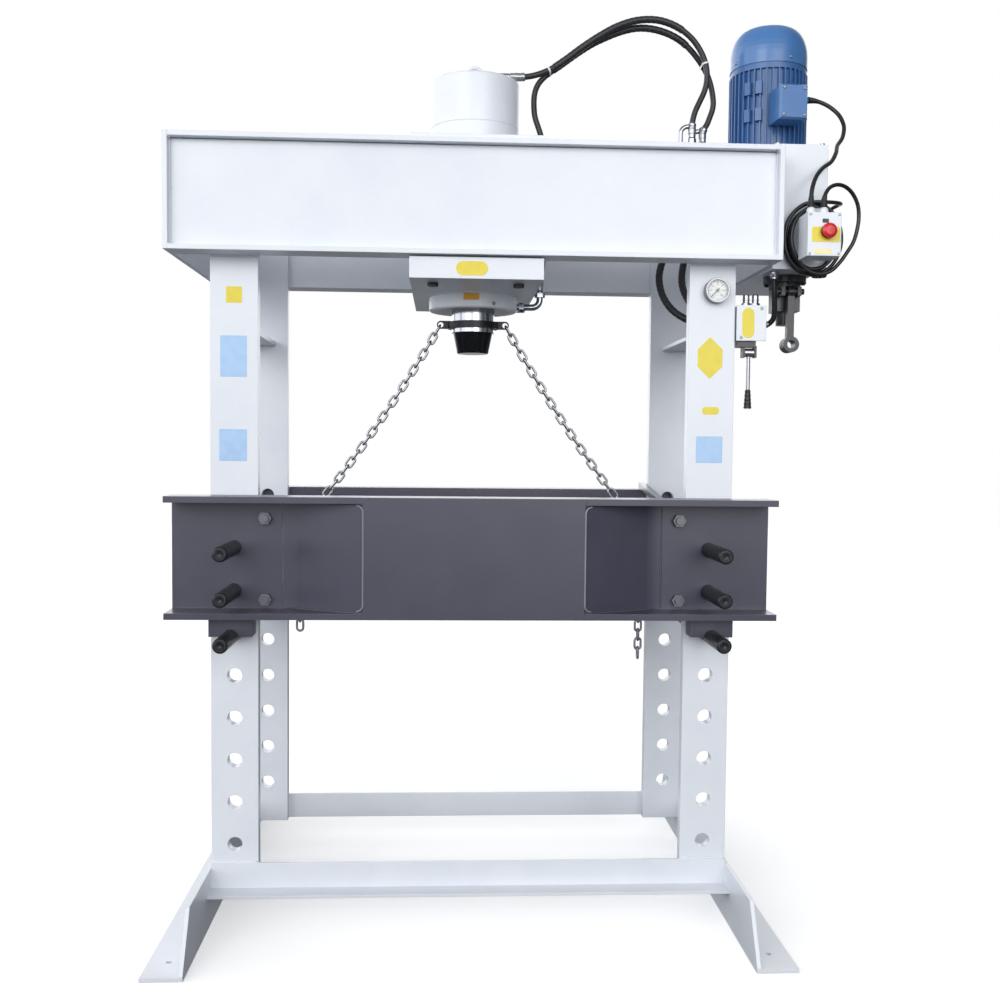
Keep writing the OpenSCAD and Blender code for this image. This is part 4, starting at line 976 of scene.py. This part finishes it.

# %% [markdown]
# ## Bare and plated metal
# The ram is ground and hard-chromed, chain and fittings are zinc-plated, and pins and collar are blackened.
# Metal shows its making: fine turning lines round a rod, a cloudy grain in zinc, and edges painted lighter on
# black, as rubbing and as painted highlights.
# Grinding lines are far below a millimetre; they are drawn about 2 mm apart so that they show.

# %% Metal recipe


def metal(name, shade, deep, edge_wear_and_highlight_shade, roughness, stretch, grain_mm, bump, edge_mm, metallic):
    """Metal whose grain is noise stretched along one direction, with edges painted in another shade as wear
    and as a painted highlight.
    """
    material = new_finish(name)
    place = add(material, "TexCoord", {}, {}).outputs["Object"]
    drawn = add(material, "Mapping", {}, {"Vector": place, "Scale": stretch}).outputs["Vector"]
    grain = noise(material, drawn, grain_mm, 4.0, 0.6)
    body = blended(material, ranged(material, grain, 0.3, 0.7), linear(deep), linear(shade))
    soft = softened(material, edge_mm)
    # Sharp edges get a lighter colour here: partly wear, partly a painted highlight.
    worn_and_lit = edge_wear_and_highlight(material, soft, 0.82, 0.8)
    return covered(material, {
        "Base Color": blended(material, worn_and_lit, body, linear(edge_wear_and_highlight_shade)),
        "Roughness": ranged(material, grain, 0.0, 1.0, roughness - 0.06, roughness + 0.08),
        "Normal": bumped(material, grain, bump, 0.1, soft), "Metallic": metallic})


even = (1, 1, 1)
rings = (0.05, 0.05, 1)
# The eye sees a mirror drawn out sideways by fine rings round the rod.
ground_chrome = metal("hard_chrome_ground", "B4B7BC", "A3A6AB", "D8DADD", 0.13, rings, 2, 0.10, 1.0, 1.0)
# The eye sees bright white highlights beside black reflections on the bent pipes and elbows.
chrome_plate = metal("chrome_plate_polished", "A6A9AF", "989BA1", "CFD1D4", 0.12, even, 12, 0.06, 0.8, 1.0)
# The eye sees a silvery grey, cloudy in spots of about 4 mm; edges are painted brighter, partly as rubbing
# and partly as painted highlights.
zinc = metal("zinc_plate_on_steel", "B2B4B7", "94969A", "D6D7D9", 0.30, even, 4, 0.20, 0.8, 1.0)
# The eye sees a dull mid grey on the long tie rods, gone flat with handling.
dull_zinc = metal("zinc_plate_dulled", "77787E", "66676D", "A8A9AD", 0.42, even, 4, 0.20, 0.8, 1.0)
# The eye sees an oily black with thin bright lines on the corners, partly rubbed metal and partly painted
# highlights.
black_steel = metal(
    "black_oxide_on_turned_steel", "2C2D31", "202124", "77787C", 0.34, even, 6, 0.25, 1.2, 0.6)
# The eye sees a darker grey rim with a soft shine, spun from thin sheet.
spun_steel = metal("stainless_steel_spun", "8C8E93", "7C7E84", "C4C5C8", 0.28, even, 8, 0.08, 0.8, 1.0)
# The eye sees a deep black with a long white streak of light, as on a polished and blackened tool.
polished_black = metal(
    "black_oxide_on_polished_steel", "26272B", "1C1D20", "6E6F74", 0.16, even, 10, 0.06, 1.5, 0.7)
# The eye sees plain drawn bar, grey and satin, with marks along its length.
drawn_steel = metal("bright_steel_drawn", "9FA1A6", "8B8D92", "C2C3C6", 0.32, (1, 0.06, 1), 3, 0.15, 0.8, 1.0)
print("metals made")

# %% [markdown]
# ## Rubber, plastic, plates and glass
# Hoses have a black skin with the print of the cloth they were cured in; cables and the button are smooth.
# The wrap follows the tube's own texture coordinates, which are in metres round and along it.
# Plates are printed film in one plain colour, and the gauge has a clear glass.

# %% Rubber, plastic, plate and glass recipes


def rubber(name, shade, dusty, roughness, wrap_mm, weave):
    """Black rubber with a slanted wrap of one width along the tube, dulled by dust in patches of 20 mm."""
    material = new_finish(name)
    coordinates = add(material, "TexCoord", {}, {})
    band_scale = 2 * np.pi / 10 / (wrap_mm * MM)
    slant = add(material, "TexWave", {"wave_type": "BANDS", "bands_direction": "DIAGONAL"}, {
        "Vector": coordinates.outputs["UV"], "Scale": band_scale, "Distortion": 0.4, "Detail": 1.0})
    dust = noise(material, coordinates.outputs["Object"], 20, 6.0, 0.65)
    relief = add(material, "Bump", {}, {
        "Height": slant.outputs["Fac"], "Strength": weave, "Distance": 0.3 * MM})
    return covered(material, {
        "Base Color": blended(material, ranged(material, dust, 0.4, 0.75), linear(shade), linear(dusty)),
        "Roughness": ranged(material, dust, 0.0, 1.0, roughness - 0.1, roughness + 0.12),
        "Normal": relief.outputs["Normal"]})


def moulded(name, shade, deep, roughness, grain_mm, edge_mm):
    """Moulded plastic or printed film: a fine grain and softened edges."""
    material = new_finish(name)
    place = add(material, "TexCoord", {}, {}).outputs["Object"]
    speck = noise(material, place, grain_mm, 3.0)
    return covered(material, {
        "Base Color": blended(material, ranged(material, speck, 0.3, 0.6), linear(deep), linear(shade)),
        "Roughness": ranged(material, speck, 0.0, 1.0, roughness - 0.05, roughness + 0.06),
        "Normal": bumped(material, speck, 0.25, 0.12, softened(material, edge_mm))})


# The eye sees matt black with a faint slanted wrap 5 mm wide and a greyish bloom.
hose_rubber = rubber("hydraulic_hose_rubber_wrapped", "1B1B1E", "2E2F33", 0.40, 5, 0.35)
# The eye sees a smooth black sheath with long highlights and hardly any pattern.
cable_sheath = rubber("cable_sheath_extruded", "161619", "232428", 0.30, 3, 0.06)
# The eye sees a strong red with a soft shine. A mould's own grain is drawn 1.5 mm across.
red_plastic = moulded("red_plastic_moulded", "D2262C", "C4202A", 0.28, 1.5, 1.5)
# The eye sees a satin black that turns grey only where light skims it.
black_plastic = moulded("black_plastic_moulded", "202124", "17181A", 0.38, 1.5, 1.0)
# The eye sees a milky, slightly warm white.
pale_plastic = moulded("natural_nylon_moulded", "E6E6E2", "DADAD6", 0.35, 1.5, 0.5)
# The eye sees flat printed colour under a satin film, slightly uneven over a few centimetres.
yellow_plate = moulded("yellow_film_printed", "E2CF33", "DCC92C", 0.34, 25, 0.05)
amber_plate = moulded("amber_film_printed", "E0A52A", "D99C22", 0.34, 25, 0.05)
cream_plate = moulded("cream_film_printed", "EFE6B4", "E9DFA9", 0.34, 25, 0.05)
pale_blue_plate = moulded("pale_blue_film_printed", "A9C9EA", "A1C2E6", 0.34, 25, 0.05)
# The eye sees a clean matt white behind the marks.
white_dial = moulded("white_dial_printed", "F4F4F2", "EFEFEC", 0.5, 12, 0.2)
# The eye sees only a faint sheet of reflected light in front of the dial.
gauge_glass = covered(new_finish("gauge_glass_clear"), {
    "Base Color": linear("FFFFFF"), "Roughness": 0.03, "IOR": 1.5, "Alpha": 0.12, "Coat Weight": 0.6})
print("rubber, plastics, plates and glass made")

# %% [markdown]
# ## Finishes on the CAD parts and the new pieces
# The CAD parts keep their shape, so each only gets its finish.
# Every new piece was noted with its finish when it was made, and is dressed from that list.

# %% Assign finishes
node_finish = {
    white_paint: [
        "left_front_upright", "right_front_upright", "left_rear_upright", "right_rear_upright",
        "head_front_beam", "head_rear_beam", "head_end_plates", "upright_tie_plates", "left_foot",
        "right_foot", "stretchers", "carriage_top_plate", "carriage_bottom_plate", "cylinder_body",
        "oil_tank", "starter_box", "starter_bracket", "valve_cover", "lifting_eye"],
    slate_paint: ["front_table_beam", "rear_table_beam", "front_table_cover", "rear_table_cover"],
    blue_paint: ["motor_body"],
    blue_cowl_painted_light: ["fan_cover", "terminal_box"],
    ground_chrome: ["ram_rod"],
    chrome_plate: ["cylinder_fittings", "pipe_elbows"],
    spun_steel: ["gauge_case"],
    zinc: ["left_chain", "right_chain", "chain_tails", "cylinder_gland", "motor_rotor", "valve_lever"],
    dull_zinc: ["table_cross_rods"],
    drawn_steel: ["table_cross_bar", "gear_pump"],
    cast_black: ["hand_pump", "pump_arm", "valve_body"],
    black_steel: ["chain_collar", "carriage_bolts"] + [
        f"{side}_{level}_pin" for side in ("left", "right") for level in pin_z],
    polished_black: ["ram_nose"],
    black_plastic: ["gauge_needle"],
    red_plastic: ["stop_button"]}
for finish, names in node_finish.items():
    for name in names:
        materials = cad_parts[name].data.materials
        materials.clear()
        materials.append(finish)
piece_finish = {
    "hose_rubber": (hose_rubber, "rubber"), "cable_sheath": (cable_sheath, "rubber"),
    "black_plastic": (black_plastic, "rubber"), "pale_plastic": (pale_plastic, "grey_plastic"),
    "zinc": (zinc, "zinc"), "chrome_plate": (chrome_plate, "chrome"),
    "black_steel": (black_steel, "black_steel"),
    "yellow_plate": (yellow_plate, "grey_plastic"), "amber_plate": (amber_plate, "grey_plastic"),
    "cream_plate": (cream_plate, "grey_plastic"), "pale_blue_plate": (pale_blue_plate, "grey_plastic"),
    "white_dial": (white_dial, "grey_plastic"), "gauge_glass": (gauge_glass, "grey_plastic"),
    "white_paint": (white_paint, "white_paint"), "slate_paint": (slate_paint, "slate_paint"),
    "slate_highlight_paint": (slate_highlight_paint, "slate_paint")}
for key, pieces in made.items():
    finish, slot = piece_finish[key]
    for piece in pieces:
        piece.data.materials.append(finish)
print("pieces dressed:", sum(len(pieces) for pieces in made.values()))

# %% [markdown]
# ## Floor and light
# A plain pale floor and large soft lights, as in a product picture: a broad key from the upper left and one
# in front. A pale room all round is brightest level with the press, dimmer overhead and on the right, so flat
# tops stay grey and round parts turn dark on that side.
# The floor throws back less light than it shows, like a narrow sheet of paper, so undersides stay dark.

# %% Floor and lights
floor_half = 14.0
floor_bounce = "747678"
steps = np.linspace(-floor_half, floor_half, 3)
floor_grid = np.stack([*np.meshgrid(steps, steps), np.zeros((3, 3))], axis=-1)
floor = skin("floor", floor_grid, wrap=False, caps=False)
floor_finish = new_finish("pale_floor")
seen = add(floor_finish, "LightPath", {}, {}).outputs["Is Camera Ray"]
pale = add(floor_finish, "BsdfPrincipled", {}, {
    "Base Color": linear("FCFCFC"), "Roughness": 0.8,
    "Emission Color": linear("FFFFFF"), "Emission Strength": 0.32})
dull = add(floor_finish, "BsdfDiffuse", {}, {"Color": linear(floor_bounce)})
both = add(floor_finish, "MixShader", {}, {0: seen, 1: dull.outputs["BSDF"], 2: pale.outputs["BSDF"]})
add(floor_finish, "OutputMaterial", {}, {"Surface": both.outputs["Shader"]})
floor.data.materials.append(floor_finish)


def soft_light(name, place, target, size, power):
    """A square area light that looks at a target."""
    data = bpy.data.lights.new(name, "AREA")
    data.shape = "SQUARE"
    data.size = size
    data.energy = power
    lamp = bpy.data.objects.new(name, data)
    aim = Vector(place) - Vector(target)
    lamp.matrix_world = Matrix.Translation(place) @ aim.to_track_quat("Z", "Y").to_matrix().to_4x4()
    scene.collection.objects.link(lamp)


soft_light("key", (-2.4, -4.6, 3.4), (0, 0, 1.2), 2.6, 45)
soft_light("front", (1.6, -5.4, 2.6), (0.5, 0, 0.8), 2.8, 60)
world = bpy.data.worlds.new("pale_room")
world.use_nodes = True
world.node_tree.nodes.clear()
way = add(world, "TexCoord", {}, {}).outputs["Generated"]
split = add(world, "SeparateXYZ", {}, {"Vector": way})
from_side = ranged(world, split.outputs["X"], 0.35, 0.8, 2.2, 0.2, smooth=True)
from_above = ranged(world, split.outputs["Z"], 0.25, 0.8, 1.0, 0.2, smooth=True)
from_below = ranged(world, split.outputs["Z"], -0.1, 0.0, 0.1, 1.0)
upper = add(world, "Math", {"operation": "MULTIPLY"}, {0: from_side, 1: from_above})
strength = add(world, "Math", {"operation": "MULTIPLY"}, {0: upper.outputs["Value"], 1: from_below})
light = add(world, "Background", {}, {"Color": linear("FBFCFF"), "Strength": strength.outputs["Value"]})
backdrop = add(world, "Background", {}, {"Color": linear("FFFFFF"), "Strength": 1.0})
seen = add(world, "LightPath", {}, {}).outputs["Is Camera Ray"]
room = add(world, "MixShader", {}, {
    0: seen, 1: light.outputs["Background"], 2: backdrop.outputs["Background"]})
add(world, "OutputWorld", {}, {"Surface": room.outputs["Shader"]})
scene.world = world
scene.view_settings.view_transform = "Standard"
print("floor and lights set")
